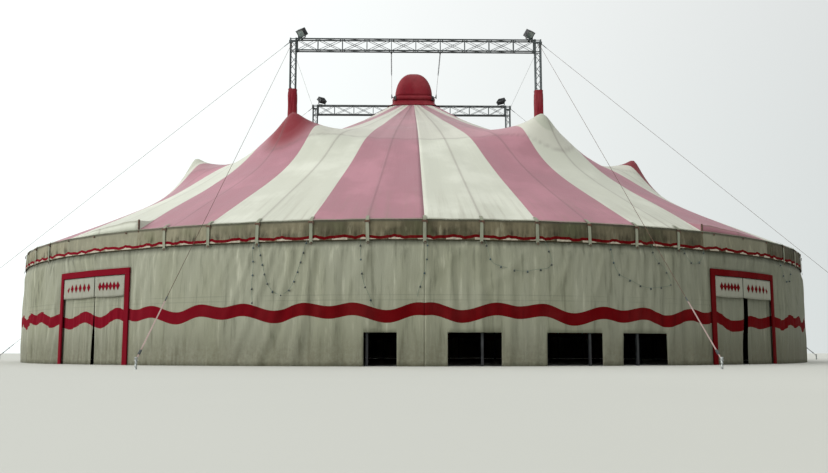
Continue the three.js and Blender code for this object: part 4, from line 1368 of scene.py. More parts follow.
def curtain_sheet(name, side, start, end, inner_edge, drawn):
    """One curtain of an entrance between two azimuths, the foot of its inner edge drawn aside."""
    rows = wall_rows(DOOR_HEIGHT + 0.10)
    azimuths = stops(start, end, 0.10)

    def place(azimuth, row):
        base, share = rows[row.astype(int), 0], rows[row.astype(int), 1]
        from_slit = np.abs(azimuth - inner_edge)
        shift = drawn * ramp(-base, -1.9, -0.2) * ramp(-from_slit, -4.0, 0.0)
        marks, levels = zip(*CURTAIN_BAND[side])
        eased = [np.interp(azimuth + turn, marks, levels) for turn in (-0.6, -0.3, 0.0, 0.3, 0.6)]
        height = base + share * sum(eased) / len(eased)
        arc = np.radians(azimuth) * WALL_RADIUS
        folds = np.sin(2 * np.pi * arc / 0.34 + 1.5 * np.sin(2.1 * arc))
        folds = folds + 0.5 * np.sin(2 * np.pi * arc / 0.17 + base)
        radius = WALL_RADIUS - 0.040 + 0.012 * folds * ramp(-base, -2.75, -1.5) - 0.008
        turn = side * (azimuth + shift)
        return ring_point(on_flat(radius, turn), turn, height + 0.004)

    order = azimuths if side > 0 else azimuths[::-1]
    sheet = cloth_grid(name, order, np.arange(len(rows)), place)
    sew_band(sheet, rows, len(azimuths))
    thickened(sheet)
    return sheet


def banner_sheet(name, side, start, end, low, high):
    """A banner's cloth in the door frame, sagging a little between its ties."""
    azimuths = stops(start, end, 0.15)
    heights = stops(low, high, 0.06)

    def place(azimuth, height):
        across = (azimuth - start) / (end - start)
        up = (height - low) / (high - low)
        sag = 0.018 * np.sin(np.pi * across) * (1 - up)
        belly = 0.014 * np.sin(np.pi * across) * np.sin(np.pi * up)
        creases = 0.004 * ripple(ring_point(9.0 + 0 * height, azimuth, height * 2), 0.35, 2.2)
        turn = side * azimuth
        radius = TENT_RADIUS - 0.020 + belly + creases
        return ring_point(on_flat(radius, turn), turn, height - sag)

    order = azimuths if side > 0 else azimuths[::-1]
    sheet = cloth_grid(name, order, heights, place)
    thickened(sheet)
    return sheet


# The frame's posts and the gap beside a banner, in degrees
FRAME_POST = 0.62
BANNER_GAP = 0.06
# A lozenge's width and height, the level of its middle, how far it is drawn in towards the
# ring's flats, and how many a banner has
LOZENGE = (0.17, 0.25)
LOZENGE_LEVEL = 2.22
LOZENGE_DRAW = 0.9992
LOZENGES = 6


def lozenge(azimuth, side):
    """A flat diamond sewn to a banner."""
    width, tall = LOZENGE
    deselect()
    bpy.ops.mesh.primitive_cylinder_add(vertices=4, radius=0.5, depth=0.004, rotation=(math.pi / 2, 0, 0))
    piece = bpy.context.object
    bpy.ops.object.transform_apply(rotation=True)
    turn = turned(side * azimuth)
    radius = TENT_RADIUS - 0.006
    piece.data.transform(Matrix.Diagonal((width, 1, tall, 1)))
    piece.data.transform(turn @ Matrix.Translation((0, -radius * LOZENGE_DRAW, LOZENGE_LEVEL)))
    return piece


def make_entrances():
    """Two entrances: the frame's red bands, a pair of banner cloths with plain lozenges, and two
    curtains that part in the middle."""
    inner = (DOOR[0] + FRAME_POST, DOOR[1] - FRAME_POST)
    gap = BANNER_GAP
    for word, side in SIDES.items():
        painted(f"entrance_frame_{word}", "band")
        middle = CURTAIN_SPLIT - 0.3
        cloths = [
            banner_sheet("banner", side, inner[0] + gap, middle - gap, BANNER_FOOT, HEADER_FOOT - 0.02),
            banner_sheet("banner", side, middle + gap, inner[1] - gap, BANNER_FOOT, HEADER_FOOT - 0.02),
        ]
        banner = joined(cloths, f"entrance_banner_cloth_{word}")
        finished(
            banner,
            "root",
            "banner_fabric",
            material("banner"),
            replaced=(f"entrance_banner_{word}",),
        )
        marks = []
        for start, end in ((inner[0] + 0.8, middle - 0.7), (middle + 0.7, inner[1] - 0.8)):
            for k in range(LOZENGES):
                azimuth = start + (end - start) * (k + 0.5) / LOZENGES
                marks.append(lozenge(azimuth, side))
        ornament = joined(marks, f"banner_lozenges_{word}")
        finished(ornament, "root", "dark_red_fabric", material("band"))
        near, far = CURTAIN_EDGES[side]
        pair = [
            curtain_sheet("curtain", side, DOOR[0] - 0.45, near[0], *near),
            curtain_sheet("curtain", side, far[0], DOOR[1] + 0.45, *far),
        ]
        curtains = joined(pair, f"entrance_curtain_cloth_{word}")
        finished(
            curtains,
            "root",
            "wall_fabric",
            material("wall"),
            material("band"),
            replaced=(f"entrance_curtains_{word}",),
        )


# Cupola


def make_cupola():
    """The red cupola: a dome of sewn gores on a padded square ring, with a flared skirt below."""
    low, high = DOME_LOW[2], DOME_HIGH[2]
    half = DOME_HIGH[0]
    arc = [(math.cos(t) * half, low + math.sin(t) * (high - low)) for t in arcs(16)]
    dome = lathed("cupola_dome_cloth", [*arc[:-1], (0.0, high)], 96)
    shape_round(
        dome, lambda a, z, r: r * squared(a) * (1 - 0.014 * abs(math.cos(4 * a)) ** 8) + 0.004
    )
    thickened(dome)
    finished(dome, "root", "dark_red_fabric", material("cap"), replaced=("cupola_dome",))
    low, high = RING_LOW[2], RING_HIGH[2]
    profile = [
        (0.830, low + 0.004),
        (0.865, low + 0.018),
        (0.893, low + 0.055),
        (0.904, low + 0.095),
        (0.900, low + 0.130),
        (0.876, low + 0.168),
        (0.836, low + 0.195),
        (half + 0.018, high - 0.004),
        (half - 0.010, high + 0.010),
        (half - 0.030, high - 0.010),
        (0.800, low + 0.100),
        (0.800, low + 0.004),
        (0.830, low + 0.004),
    ]
    ring = lathed("cupola_ring_pad", profile, 96)
    shape_round(ring, lambda a, z, r: r * squared(a) + 0.006 * math.sin(20 * a) * max(0.0, r - 0.8) / 0.08)
    smoothed(ring, 50)
    finished(ring, "root", "dark_red_fabric", material("cap"), replaced=("cupola_ring",))
    foot, top = COLLAR_TOP + 0.012, COLLAR_HIGH[2]
    flare = [(1.12, -0.036), (1.09, -0.022), (1.03, 0.016), (0.975, 0.06), (0.925, 0.12), (0.885, 0.20)]
    skirt = lathed("cupola_skirt", [*((r, foot + z) for r, z in flare), (0.852, top)], 128)
    shape_round(
        skirt, lambda a, z, r: r * squared(a) + 0.008 * math.sin(28 * a) * max(0.0, r - 0.85) / 0.2
    )
    thickened(skirt)
    finished(skirt, "root", "dark_red_fabric", material("cap"), replaced=("cupola_collar",))


def squared(angle):
    """A rounded square's radius at an angle, as a multiple of its half width."""
    powers = np.abs(np.cos(angle)) ** SQUARENESS + np.abs(np.sin(angle)) ** SQUARENESS
    return powers ** (-1 / SQUARENESS)


def arcs(count):
    """Angles of a quarter turn in even steps."""
    return [k / count * math.pi / 2 for k in range(count + 1)]


def shape_round(piece, radius_of):
    """Moves each point of a round piece to radius_of(angle, height, radius)."""
    for vertex in piece.data.vertices:
        x, y, z = vertex.co
        r = math.hypot(x, y)
        if r > 1e-6:
            angle = math.atan2(y, x)
            new = radius_of(angle, z, r)
            vertex.co = (math.cos(angle) * new, math.sin(angle) * new, z)


CLAW_Z = RING_LOW[2] + 0.10
CHAIN_SHARE = 0.45


def make_hoist_rig():
    """The cupola's hoist: a sleeved band, four claws, and to each a rope that ends in a chain."""
    out = RING_HIGH[0] + 0.002
    band_profile = [
        (out - 0.004, CLAW_Z - 0.014),
        (out + 0.006, CLAW_Z - 0.012),
        (out + 0.011, CLAW_Z),
        (out + 0.006, CLAW_Z + 0.012),
        (out - 0.004, CLAW_Z + 0.014),
        (out - 0.004, CLAW_Z - 0.014),
    ]
    band = lathed("hoist_band", band_profile, 96)
    shape_round(band, lambda a, z, r: r * squared(a))
    start = Vector((PANEL, -PANEL, CLAW_Z + 0.03))
    end = Vector((PANEL, -MAST + (ARCH_DEPTH - settings().sizes.chord) / 2, ARCH_FOOT - 0.035))
    along = (end - start).normalized()
    split = start + (end - start) * (1 - CHAIN_SHARE)
    rope = rod(start + along * 0.10, split, 0.014, 8)
    thimble = rod(split - along * 0.12, split, 0.026, 8)
    links = chain(split, end, 0.062)
    hanger = block((0.055, 0.055, 0.034), (PANEL, end.y, ARCH_FOOT - 0.020), 0.006)
    dark = joined([claw(start, along), hanger, thimble, links], "hoist_quarter")
    dark.data.materials.append(material("black"))
    bright = joined([rope], "hoist_rope")
    bright.data.materials.append(material("rope"))
    quarter = joined([dark, bright], "hoist_quarter")
    band.data.materials.append(material("black"))
    band.data.materials.append(material("rope"))
    band.data.materials.append(material("cap"))
    for face in band.data.polygons:
        face.material_index = 2
    parts = [band]
    for sx in (1, -1):
        for sy in (1, -1):
            parts.append(twin(quarter, f"hoist_{sx}_{sy}", Matrix.Diagonal((sx, sy, 1, 1))))
    bpy.data.objects.remove(quarter)
    rig = joined(parts, "cupola_hoist")
    smoothed(rig)
    finished(
        rig,
        "root",
        "black_steel",
        material("black"),
        material("rope"),
        material("cap"),
        replaced=("cupola_hoist_rig",),
    )


def claw(at, along):
    """A claw at the ring's corner: an arm, a gripping plate with two lips and a long rope socket."""
    corner = RING_HIGH[0] * 2 ** (-1 / SQUARENESS)
    root = Vector((corner - 0.01, -corner + 0.01, at.z - 0.03))
    diagonal = (0, 0, -math.pi / 4)
    arm = rod(root, at - Vector((0, 0, 0.03)), 0.040, 10)
    plate = block((0.14, 0.024, 0.15), (root.x + 0.02, root.y - 0.02, root.z), 0.006, (0, 0, math.pi / 4))
    lips = [
        block((0.10, 0.09, 0.024), (root.x, root.y, root.z + side * 0.075), 0.006, diagonal)
        for side in (-1, 1)
    ]
    body = block((0.046, 0.046, 0.13), at - Vector((0, 0, 0.03)), 0.008)
    deselect()
    bpy.ops.mesh.primitive_cone_add(
        vertices=10,
        radius1=0.026,
        radius2=0.010,
        depth=0.22,
        location=at + along * 0.11,
        rotation=along.to_track_quat("Z", "Y").to_euler(),
    )
    socket = bpy.context.object
    return joined([arm, plate, *lips, body, socket], "claw")


def chain(start, end, link):
    """Oval links of chain between two points, turned a quarter each."""
    along = end - start
    pitch = link * 0.72
    count = max(2, int(along.length / pitch))
    deselect()
    bpy.ops.mesh.primitive_torus_add(
        major_radius=link * 0.32, minor_radius=0.006, major_segments=12, minor_segments=5
    )
    pattern = bpy.context.object
    pattern.data.transform(Matrix.Diagonal((1.45, 1, 1, 1)))
    aim = along.to_track_quat("X", "Z").to_matrix().to_4x4()
    links = []
    for k in range(count):
        centre = Matrix.Translation(start + along * ((k + 0.5) / count))
        roll = Matrix.Rotation(math.pi / 2 * (k % 2), 4, "X")
        links.append(twin(pattern, f"link_{k}", centre @ aim @ roll))
    bpy.data.objects.remove(pattern)
    return joined(links, "chain")


# Masts and arches


def make_masts():
    """Four square lattice masts of round tube with zigzag lacing, a head frame and a foot plate."""
    sizes = settings().sizes
    half = (ARCH_DEPTH - sizes.chord) / 2
    foot, head = 0.03, MAST_TOP
    bays = 40
    bay = (head - foot - 0.12) / bays
    corners = [(-half, -half), (half, -half), (half, half), (-half, half)]
    legs = [rod((x, y, foot), (x, y, head), sizes.chord) for x, y in corners]
    lacing = []
    for (x0, y0), (x1, y1) in zip(corners, corners[1:] + corners[:1]):
        low, middle, high = foot + 0.06, foot + 0.06 + bay, foot + 0.06 + 2 * bay
        lacing.append(rod((x0, y0, low), (x1, y1, middle), sizes.lacing, 6))
        lacing.append(rod((x1, y1, middle), (x0, y0, high), sizes.lacing, 6))
    zigzag = repeated(joined(lacing, "mast_lacing"), bays // 2, (0, 0, 2 * bay))
    rungs = []
    for (x0, y0), (x1, y1) in zip(corners, corners[1:] + corners[:1]):
        for z in (foot + 0.05, ARCH_FOOT + 0.02, head - 0.03):
            rungs.append(rod((x0, y0, z), (x1, y1, z), 0.034, 8))
    plate = block((0.5, 0.5, 0.028), (0, 0, 0.016), 0.004)
    nuts = [
        block((0.035, 0.035, 0.03), (x, y, 0.042), 0.006, (0, 0, 0.4))
        for x in (-0.2, 0.2)
        for y in (-0.2, 0.2)
    ]
    tower = joined([*legs, zigzag, *rungs, plate, *nuts], "tower")
    smoothed(tower)
    for corner, (sx, sy, _) in CORNERS.items():
        mast = twin(tower, f"mast_lattice_{corner}", Matrix.Translation((sx * MAST, sy * MAST, 0)))
        finished(mast, "root", "painted_steel", material("zinc"), replaced=(f"mast_{corner}",))
    bpy.data.objects.remove(tower)


def make_arches():
    """The two arches: four chords with frames every panel and crossed rods on every side."""
    sizes = settings().sizes
    half_length = ARCH_HIGH[0]
    half = ARCH_DEPTH / 2 - sizes.chord / 2
    top, foot = ARCH_HIGH[2] - sizes.chord / 2, ARCH_LOW[2] + sizes.chord / 2
    parts = [
        rod((-half_length, y, z), (half_length, y, z), sizes.chord)
        for y in (-half, half)
        for z in (foot, top)
    ]
    x0 = -MAST
    frame_rods = []
    for y in (-half, half):
        frame_rods.append(rod((0, y, foot), (0, y, top), 0.028, 8))
    for z in (foot, top):
        frame_rods.append(rod((0, -half, z), (0, half, z), 0.028, 8))
    frames = joined(frame_rods, "arch_frame")
    frames.data.transform(Matrix.Translation((x0 + PANEL, 0, 0)))
    parts.append(repeated(frames, PANELS - 1, (PANEL, 0, 0)))
    crossed = []
    for y in (-half, half):
        crossed.append(rod((0, y, foot), (PANEL, y, top), sizes.lacing, 6))
        crossed.append(rod((0, y, top), (PANEL, y, foot), sizes.lacing, 6))
    for z in (foot, top):
        crossed.append(rod((0, -half, z), (PANEL, half, z), sizes.lacing, 6))
    panel = joined(crossed, "arch_panel")
    panel.data.transform(Matrix.Translation((x0 + PANEL, 0, 0)))
    parts.append(repeated(panel, PANELS - 2, (PANEL, 0, 0)))
    for s in (-1, 1):
        near, far = s * half_length, s * (MAST - PANEL)
        for y in (-half, half):
            parts.append(rod((near - s * 0.02, y, foot), (near - s * 0.02, y, top), 0.034, 8))
            parts.append(rod((near, y, foot), (far, y, top), sizes.lacing, 6))
            parts.append(rod((near, y, top), (far, y, foot), sizes.lacing, 6))
            for z in (foot, top):
                parts.append(block((0.012, 0.075, 0.075), (near - s * 0.008, y, z), 0.003))
    arch = joined(parts, "arch")
    smoothed(arch)
    for word, y in (("front", -MAST), ("rear", MAST)):
        lattice = twin(arch, f"arch_lattice_{word}", Matrix.Translation((0, y, 0)))
        finished(lattice, "root", "painted_steel", material("zinc"), replaced=(f"arch_truss_{word}",))
    bpy.data.objects.remove(arch)


def make_sleeves():
    """Red cloth boots round the masts, strapped tight at the top and spread on the roof below."""
    for corner, (sx, sy, _) in CORNERS.items():
        around = stops(0.0, 360.0, 7.5)
        heights = stops(0.0, 1.0, 0.035, kept=(0.012, 0.97))
        top = SLEEVE_HIGH[2]

        def place(angle, up):
            turn = np.radians(angle)
            square = 0.165 / np.maximum(np.abs(np.cos(turn)), np.abs(np.sin(turn)))
            radius = np.minimum(square, 0.205) * 0.7 + 0.182 * 0.3
            pinch = ramp(up, 0.93, 0.965) * ramp(-up, -0.999, -0.975)
            flare = 0.17 * ramp(-up, -0.14, 0.0)
            waves = 0.007 * np.sin(5 * turn + 9 * up) + 0.005 * np.sin(11 * turn - 14 * up + sx)
            radius = radius + flare - 0.012 * pinch + waves * ramp(-up, -0.96, -0.9)
            x = sx * MAST + radius * np.cos(turn)
            y = sy * MAST + radius * np.sin(turn)
            azimuth = np.degrees(np.arctan2(x, -y))
            roof = canopy_height(np.hypot(x, y), azimuth) + 0.016
            return np.stack([x, y, roof + (top - roof) * up], axis=-1)

        sleeve = cloth_grid(f"mast_boot_{corner}", around, heights, place)
        closed_up(sleeve, 0.0005)
        thickened(sleeve)
        finished(
            sleeve, "root", "dark_red_fabric", material("cap"), replaced=(f"mast_sleeve_{corner}",)
        )


# Stays


def turnbuckle(at, towards):
    """A rigging screw at a stake: two forks and an open body along the rope's line."""
    along = (towards - at).normalized()
    body = [rod(at + along * 0.16 + side, at + along * 0.52 + side, 0.018, 8) for side in sides_of(along)]
    rings = [rod(at + along * a, at + along * b, 0.050, 10) for a, b in ((0.15, 0.19), (0.49, 0.53))]
    screws = [rod(at, at + along * 0.30, 0.022, 8), rod(at + along * 0.40, at + along * 0.66, 0.022, 8)]
    return [*body, *rings, *screws]


def sides_of(along):
    """Two small offsets to either side of a direction, level with the ground."""
    side = along.cross(Vector((0, 0, 1))).normalized() * 0.022
    return side, -side


def stake(at):
    """A driven stake with a mushroomed head and a shackle round it."""
    foot = Vector((at.x, at.y, 0.002))
    shaft = rod(foot, Vector((at.x, at.y, 0.235)), 0.052, 12)
    deselect()
    bpy.ops.mesh.primitive_uv_sphere_add(
        segments=14, ring_count=8, radius=0.040, location=(at.x, at.y, 0.240)
    )
    head = bpy.context.object
    head.scale = (1, 1, 0.45)
    deselect()
    bpy.ops.mesh.primitive_torus_add(
        major_radius=0.036,
        minor_radius=0.009,
        major_segments=16,
        minor_segments=6,
        location=(at.x, at.y, at.z - 0.01),
    )
    return [shaft, head, bpy.context.object]


STAKE_INSET = 0.03
STRAP_LENGTH = 2.05


def make_stays():
    """Each mast's two stay ropes with their head brackets and stakes, one on a rigging screw and
    one on a ratchet strap, and the ties between the heads of the front and rear masts."""
    sizes = settings().sizes
    low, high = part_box("mast_stays_front_right")
    bracket_z = high[2] - 0.045
    side_stake = Vector((high[0] - STAKE_INSET, -MAST, 0.20))
    end_stake = Vector((6.1, low[1] + STAKE_INSET, 0.20))
    face = MAST + ARCH_DEPTH / 2 + 0.0104
    side_head = Vector((face, -MAST, bracket_z))
    end_head = Vector((MAST, -face, bracket_z))
    zinc, ropes, rust = [], [], []
    for head, at in ((side_head, side_stake), (end_head, end_stake)):
        along = (head - at).normalized()
        rust += stake(at)
        low_end = 0.66 if head is side_head else STRAP_LENGTH
        ropes.append(rod(at + along * low_end, head, sizes.stay, 8))
        zinc.append(rod(at + along * (low_end - 0.02), at + along * (low_end + 0.14), 0.028, 10))
        zinc.append(rod(head - along * 0.02, head - along * 0.26, 0.028, 10))
        if head is side_head:
            zinc += turnbuckle(at + along * 0.03, head)
            continue
        turn = along.to_track_quat("Z", "Y").to_euler()
        straps = [block((0.032, 0.006, STRAP_LENGTH), at + along * STRAP_LENGTH / 2, 0.0015, turn)]
        zinc.append(block((0.05, 0.044, 0.14), at + along * 0.24, 0.010, turn))
    wide = ARCH_DEPTH + 0.02
    zinc.append(block((0.018, wide, 0.085), (face, -MAST - 0.01, bracket_z), 0.003))
    zinc.append(block((wide, 0.018, 0.085), (MAST + 0.01, -face, bracket_z), 0.003))
    pieces = []
    kinds = {"zinc": zinc, "rope": ropes, "rust": rust, "lashing": straps}
    for key, parts in kinds.items():
        piece = joined(parts, key)
        piece.data.materials.append(material(key))
        pieces.append(piece)
    pattern = joined(pieces, "stays")
    smoothed(pattern)
    for corner, (sx, sy, _) in CORNERS.items():
        stays = twin(pattern, f"stay_ropes_{corner}", Matrix.Diagonal((sx, -sy, 1, 1)))
        finished(
            stays,
            "root",
            "galvanised_rope",
            *(material(key) for key in kinds),
            replaced=(f"mast_stays_{corner}",),
        )
    bpy.data.objects.remove(pattern)
    for word in SIDES:
        low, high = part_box(f"mast_head_tie_{word}")
        x, z = (low[0] + high[0]) / 2, (low[2] + high[2]) / 2
        tie = rod((x, low[1] + 0.01, z), (x, high[1] - 0.01, z), sizes.stay, 8)
        tie.data.materials.append(material("rope"))
        ends = [block((0.05, 0.012, 0.06), (x, y, z), 0.002) for y in (low[1] + 0.006, high[1] - 0.006)]
        ends += [
            rod((x, y, z), (x, y + s * 0.3, z), 0.032, 10)
            for y, s in ((low[1] + 0.01, 1), (high[1] - 0.01, -1))
        ]
        iron = joined(ends, "tie_ends")
        iron.data.materials.append(material("zinc"))
        whole = joined([joined([tie], "tie"), iron], f"head_tie_rope_{word}")
        smoothed(whole)
        finished(
            whole,
            "root",
            "galvanised_rope",
            material("rope"),
            material("zinc"),
            replaced=(f"mast_head_tie_{word}",),
        )


# Poles, floodlights and string lights


def make_poles():
    """The poles keep their modelled shape: black at the wall, dull zinc further in."""
    # Painted shade: the side poles are black so that they sink into the dark inside of the tent.
    finish = {f"side_poles_{corner}": "black" for corner in CORNERS}
    finish |= {f"quarter_pole_{k}": "zinc" for k in range(1, 9)}
    for name, key in finish.items():
        painted(name, key)


LAMP_PIVOT_Z = 12.44
LAMP_INSET = 0.315
LAMP_TILT = 40.0


def lamp_head():
    """A floodlight head at its pivot, glass towards -Y: a finned housing, a bezel and a visor."""
    low, high = -0.14, 0.14
    deselect()
    bpy.ops.mesh.primitive_cube_add(size=1, location=(0, 0.006, 0))
    housing = bpy.context.object
    housing.scale = (0.372, 0.168, 0.29)
    bpy.ops.object.transform_apply(location=True, rotation=False, scale=True)
    selected_faces(housing, lambda middle, normal: normal.y > 0.9)
    bpy.ops.mesh.inset(thickness=0.03, depth=0.0)
    bpy.ops.transform.resize(value=(0.82, 1, 0.62), center_override=(0, 0.09, 0))
    bpy.ops.object.mode_set(mode="OBJECT")
    selected_faces(housing, lambda middle, normal: normal.y < -0.9)
    bpy.ops.mesh.inset(thickness=0.018, depth=0.0)
    bpy.ops.mesh.extrude_region_move(TRANSFORM_OT_translate={"value": (0, 0.016, 0)})
    bpy.ops.object.mode_set(mode="OBJECT")
    modified(housing, "BEVEL", width=0.008, segments=2, limit_method="ANGLE")
    fin = block((0.006, 0.05, 0.19), (-0.15, 0.078, 0), 0.0015)
    fins = repeated(fin, 11, (0.03, 0, 0))
    visor = block((0.352, 0.05, 0.008), (0, -0.098, 0.142), 0.002, (-0.25, 0, 0))
    bezel = [
        block((0.372, 0.012, 0.02), (0, -0.084, z), 0.003) for z in (low + 0.004, high - 0.004)
    ]
    bezel += [block((0.02, 0.012, 0.28), (x, -0.084, 0), 0.003) for x in (-0.176, 0.176)]
    screws = [
        rod((x, -0.089, z), (x, -0.092, z), 0.012, 10) for x in (-0.17, 0.17) for z in (-0.13, 0.13)
    ]
    pins = [rod((s * 0.18, 0, 0), (s * 0.211, 0, 0), 0.019, 12) for s in (1, -1)]
    dark = joined([housing, fins, visor, *bezel, *screws, *pins], "lamp")
    dark.data.materials.append(material("black"))
    glass = block((0.336, 0.006, 0.254), (0, -0.074, 0), 0.002)
    glass = joined([glass], "lamp_glass")
    glass.data.materials.append(material("glass"))
    return smoothed(joined([dark, glass], "lamp"))


def make_floodlights():
    """Four floodlights: the heads tilt in their brackets on the arches' top tubes."""
    pattern = lamp_head()
    for corner, (sx, sy, _) in CORNERS.items():
        pivot = Matrix.Translation((sx * (MAST - LAMP_INSET), sy * MAST, LAMP_PIVOT_Z))
        facing = Matrix.Rotation(math.atan2(sx, -sy), 4, "Z")
        tilt = Matrix.Rotation(math.radians(LAMP_TILT), 4, "X")
        head = twin(pattern, f"floodlight_lamp_{corner}", pivot @ facing @ tilt)
        finished(
            head,
            f"floodlight_{corner}",
            "lamp_housing",
            material("black"),
            material("glass"),
            replaced=(f"floodlight_head_{corner}",),
        )
        painted(f"floodlight_bracket_{corner}", "black")
    bpy.data.objects.remove(pattern)


# Each string of lights hangs from the valance's hem: azimuth and height of points along it
FESTOONS = [
    [(-17.2, 3.26), (-17.3, 2.95), (-17.2, 2.6), (-17.3, 2.2), (-17.3, 1.85), (-17.2, 1.55)],
    [(-16.8, 3.26), (-16.2, 2.6), (-15.6, 2.1), (-14.7, 1.85), (-13.6, 1.9), (-12.7, 2.3), (-11.6, 3.26)],
    [(-6.3, 3.26), (-6.2, 2.7), (-6.0, 2.2), (-5.5, 1.85), (-4.9, 1.5)],
    [(0.3, 3.26), (0.2, 2.7), (-0.1, 2.3), (-0.6, 1.9), (-0.7, 1.75)],
    [
        (5.9, 3.26), (6.3, 2.85), (6.7, 2.62), (8.1, 2.50), (9.6, 2.42),
        (11.1, 2.47), (12.3, 2.52), (12.7, 2.72), (12.0, 3.26),
    ],
    [
        (19.2, 3.26), (19.9, 2.5), (21.6, 2.25), (23.4, 2.08), (25.2, 2.1),
        (26.7, 2.2), (26.0, 2.6), (24.7, 2.9), (24.4, 3.26),
    ],
    [(28.6, 3.26), (29.4, 2.9), (30.6, 2.8), (31.6, 3.0), (32.0, 3.26)],
    [(49.0, 3.26), (50.0, 2.7), (51.6, 2.6), (53.0, 2.75), (53.6, 3.26)],
]
FESTOON_CABLE = 0.007
# Below this height a string hangs clear of the valance
CLEAR_OF_HEM = 3.15
# The string whose bulbs sit closer together, and its share of the usual distance
CLOSER_STRING = 2
CLOSER_SHARE = 0.72


def smooth_path(points, steps):
    """A smooth curve through points, as a list of vectors."""
    knots = [points[0], *points, points[-1]]
    path = []
    for p0, p1, p2, p3 in zip(knots, knots[1:], knots[2:], knots[3:]):
        for k in range(steps):
            t = k / steps
            path.append(
                0.5
                * (
                    2 * p1
                    + (p2 - p0) * t
                    + (2 * p0 - 5 * p1 + 4 * p2 - p3) * t * t
                    + (3 * p1 - p0 - 3 * p2 + p3) * t**3
                )
            )
    path.append(points[-1])
    return path


def make_string_lights():
    """Strings of small dark bulbs on a thin cable, hung in loops from the valance's hem."""
    sizes = settings().sizes
    for number, marks in enumerate(FESTOONS, 1):
        knots = []
        for azimuth, height in marks:
            radius = TENT_RADIUS + (0.055 if height < CLEAR_OF_HEM else 0.024)
            knots.append(Vector(ring_point(on_flat(radius, np.array(azimuth)), np.array(azimuth), height)))
        path = smooth_path(knots, 5)
        cable = rope_along(f"string_light_cable_{number}", path, FESTOON_CABLE, 8)
        finished(cable, "root", "black_steel", material("cable"))
        step = sizes.bulb_step * (CLOSER_SHARE if number == CLOSER_STRING else 1)
        bulbs = joined(bulbs_along(path, step, sizes.bulb), f"string_light_bulbs_{number}")
        finished(bulbs, "root", "lamp_housing", material("bulb"))


def bulbs_along(path, step, diameter):
    """Bulbs in their holders at even distances along a path."""
    pieces = []
    left = step / 2
    for a, b in zip(path, path[1:]):
        span = (b - a).length
        while left < span:
            at = a + (b - a) * (left / span)
            deselect()
            bpy.ops.mesh.primitive_uv_sphere_add(
                segments=8, ring_count=6, radius=diameter / 2, location=at - Vector((0, 0, 0.03))
            )
            pieces.append(bpy.context.object)
            pieces.append(rod(at - Vector((0, 0, 0.016)), at + Vector((0, 0, 0.008)), 0.020, 6))
            left += step
        left -= span
    return pieces


# Stage

FOCAL_PX = 900.0
FRAME_PX = 828.0
EYE = (-0.72, -37.8, 0.36)
YAW = 0.0196
PITCH = 0.1276
SENSOR = 36.0


def make_stage():
    """A pale floor, soft daylight and a camera at knee height in front of the tent."""
    deselect()
    bpy.ops.mesh.primitive_plane_add(size=400, location=(0, 0, -0.001))
    floor = bpy.context.object
    floor.name = "studio_floor"
    bpy.ops.object.transform_apply(location=True)
    finish, tree, shader = new_material("plain_studio_floor", Roughness=0.9)
    place = add(tree, "ShaderNodeTexCoord").outputs["Object"]
    tone = stretched_noise(tree, place, (1, 1, 1), 0.08, 3.0)
    shade = tinted(tree, tone, linear("#b9bab2", 1.0), "#c3c4bc")
    tree.links.new(shade, shader.inputs["Base Color"])
    floor.data.materials.append(finish)
    bpy.context.scene.view_settings.view_transform = "Standard"
    world = bpy.data.worlds.new("overcast")
    world.use_nodes = True
    bpy.context.scene.world = world
    tree = world.node_tree
    background = tree.nodes["Background"]
    up = add(tree, "ShaderNodeTexCoord").outputs["Generated"]
    directions = add(tree, "ShaderNodeSeparateXYZ", {"Vector": up})
    rise = between(tree, directions.outputs["Z"], -0.05, 0.9)
    sky = tinted(tree, rise, linear("#f0f6f5", 1.0), "#ffffff")
    tree.links.new(sky, background.inputs["Color"])
    glow = between(tree, directions.outputs["X"], -1.0, 1.0, 1.55, 0.5, smooth=False)
    tree.links.new(glow, background.inputs["Strength"])
    for name, turn, power, spread in (
        ("key", (math.radians(76), 0, math.radians(-66)), 1.5, 40),
        ("fill", (math.radians(20), 0, math.radians(0)), 0.25, 90),
    ):
        light = bpy.data.lights.new(name, "SUN")
        light.energy = power
        light.angle = math.radians(spread)
        lamp = bpy.data.objects.new(name, light)
        lamp.rotation_euler = Euler(turn)
        bpy.context.scene.collection.objects.link(lamp)
    camera_data = bpy.data.cameras.new("camera")
    camera_data.sensor_width = SENSOR
    camera_data.lens = FOCAL_PX / FRAME_PX * SENSOR
    camera_data.clip_end = 1000
    camera = bpy.data.objects.new("camera", camera_data)
    camera.location = EYE
    camera.rotation_euler = Euler((math.pi / 2 + PITCH, 0, -YAW))
    bpy.context.scene.collection.objects.link(camera)
    bpy.context.scene.camera = camera


# Operators, panel and registration


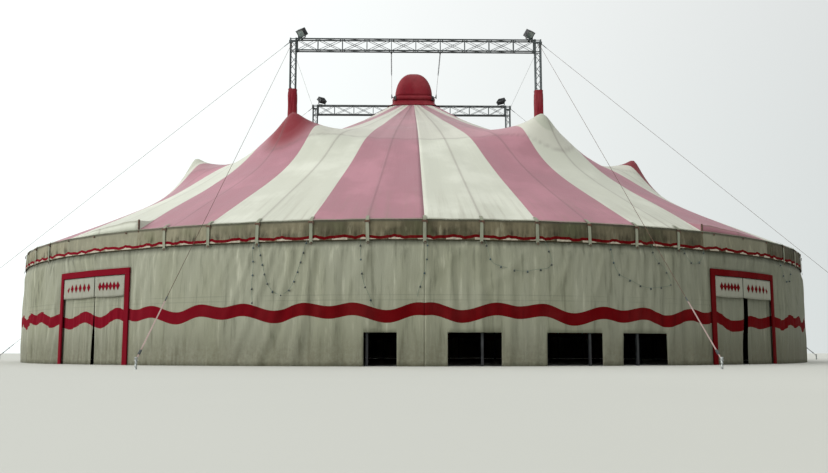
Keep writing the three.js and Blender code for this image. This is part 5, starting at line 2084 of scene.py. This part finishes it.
def operator_for(name, label, make):
    """An operator that makes one group of pieces; make's docstring says which."""

    def execute(self, context):
        make()
        return {"FINISHED"}

    return type(
        f"BIGTOP_OT_{name}",
        (bpy.types.Operator,),
        {
            "__doc__": make.__doc__,
            "bl_idname": f"bigtop.{name}",
            "bl_label": label,
            "bl_options": {"REGISTER", "UNDO"},
            "execute": execute,
        },
    )


OPERATORS = [
    operator_for("stage", "Stage", make_stage),
    operator_for("canopy", "Canopy", make_canopy),
    operator_for("side_wall", "Side wall", make_side_wall),
    operator_for("valance", "Valance", make_valance),
    operator_for("eave_straps", "Eave straps", make_eave_straps),
    operator_for("entrances", "Entrances", make_entrances),
    operator_for("cupola", "Cupola", make_cupola),
    operator_for("hoist_rig", "Hoist rig", make_hoist_rig),
    operator_for("masts", "Masts", make_masts),
    operator_for("arches", "Arches", make_arches),
    operator_for("sleeves", "Mast sleeves", make_sleeves),
    operator_for("stays", "Stays", make_stays),
    operator_for("poles", "Poles", make_poles),
    operator_for("floodlights", "Floodlights", make_floodlights),
    operator_for("string_lights", "String lights", make_string_lights),
]


class BIGTOP_PT_panel(bpy.types.Panel):
    """Lists the big top's operators and what a user can change."""

    bl_label = "Big top"
    bl_idname = "BIGTOP_PT_panel"
    bl_space_type = "VIEW_3D"
    bl_region_type = "UI"
    bl_category = "Big top"

    def draw(self, context):
        for kind in OPERATORS:
            self.layout.operator(kind.bl_idname)
        chosen = context.scene.big_top
        for group in (chosen.sizes, chosen.colours):
            for name in group.__annotations__:
                self.layout.prop(group, name)


CLASSES = [BigTopSizes, BigTopColours, BigTopSettings, *OPERATORS, BIGTOP_PT_panel]


def register():
    for kind in CLASSES:
        bpy.utils.register_class(kind)
    bpy.types.Scene.big_top = PointerProperty(type=BigTopSettings)


def unregister():
    del bpy.types.Scene.big_top
    for kind in reversed(CLASSES):
        bpy.utils.unregister_class(kind)


def main():
    register()
    for kind in OPERATORS:
        group, name = kind.bl_idname.split(".")
        result = getattr(getattr(bpy.ops, group), name)()
        if "FINISHED" not in result:
            raise RuntimeError(f"{kind.bl_label} wasn't made")


if __name__ == "__main__":
    main()
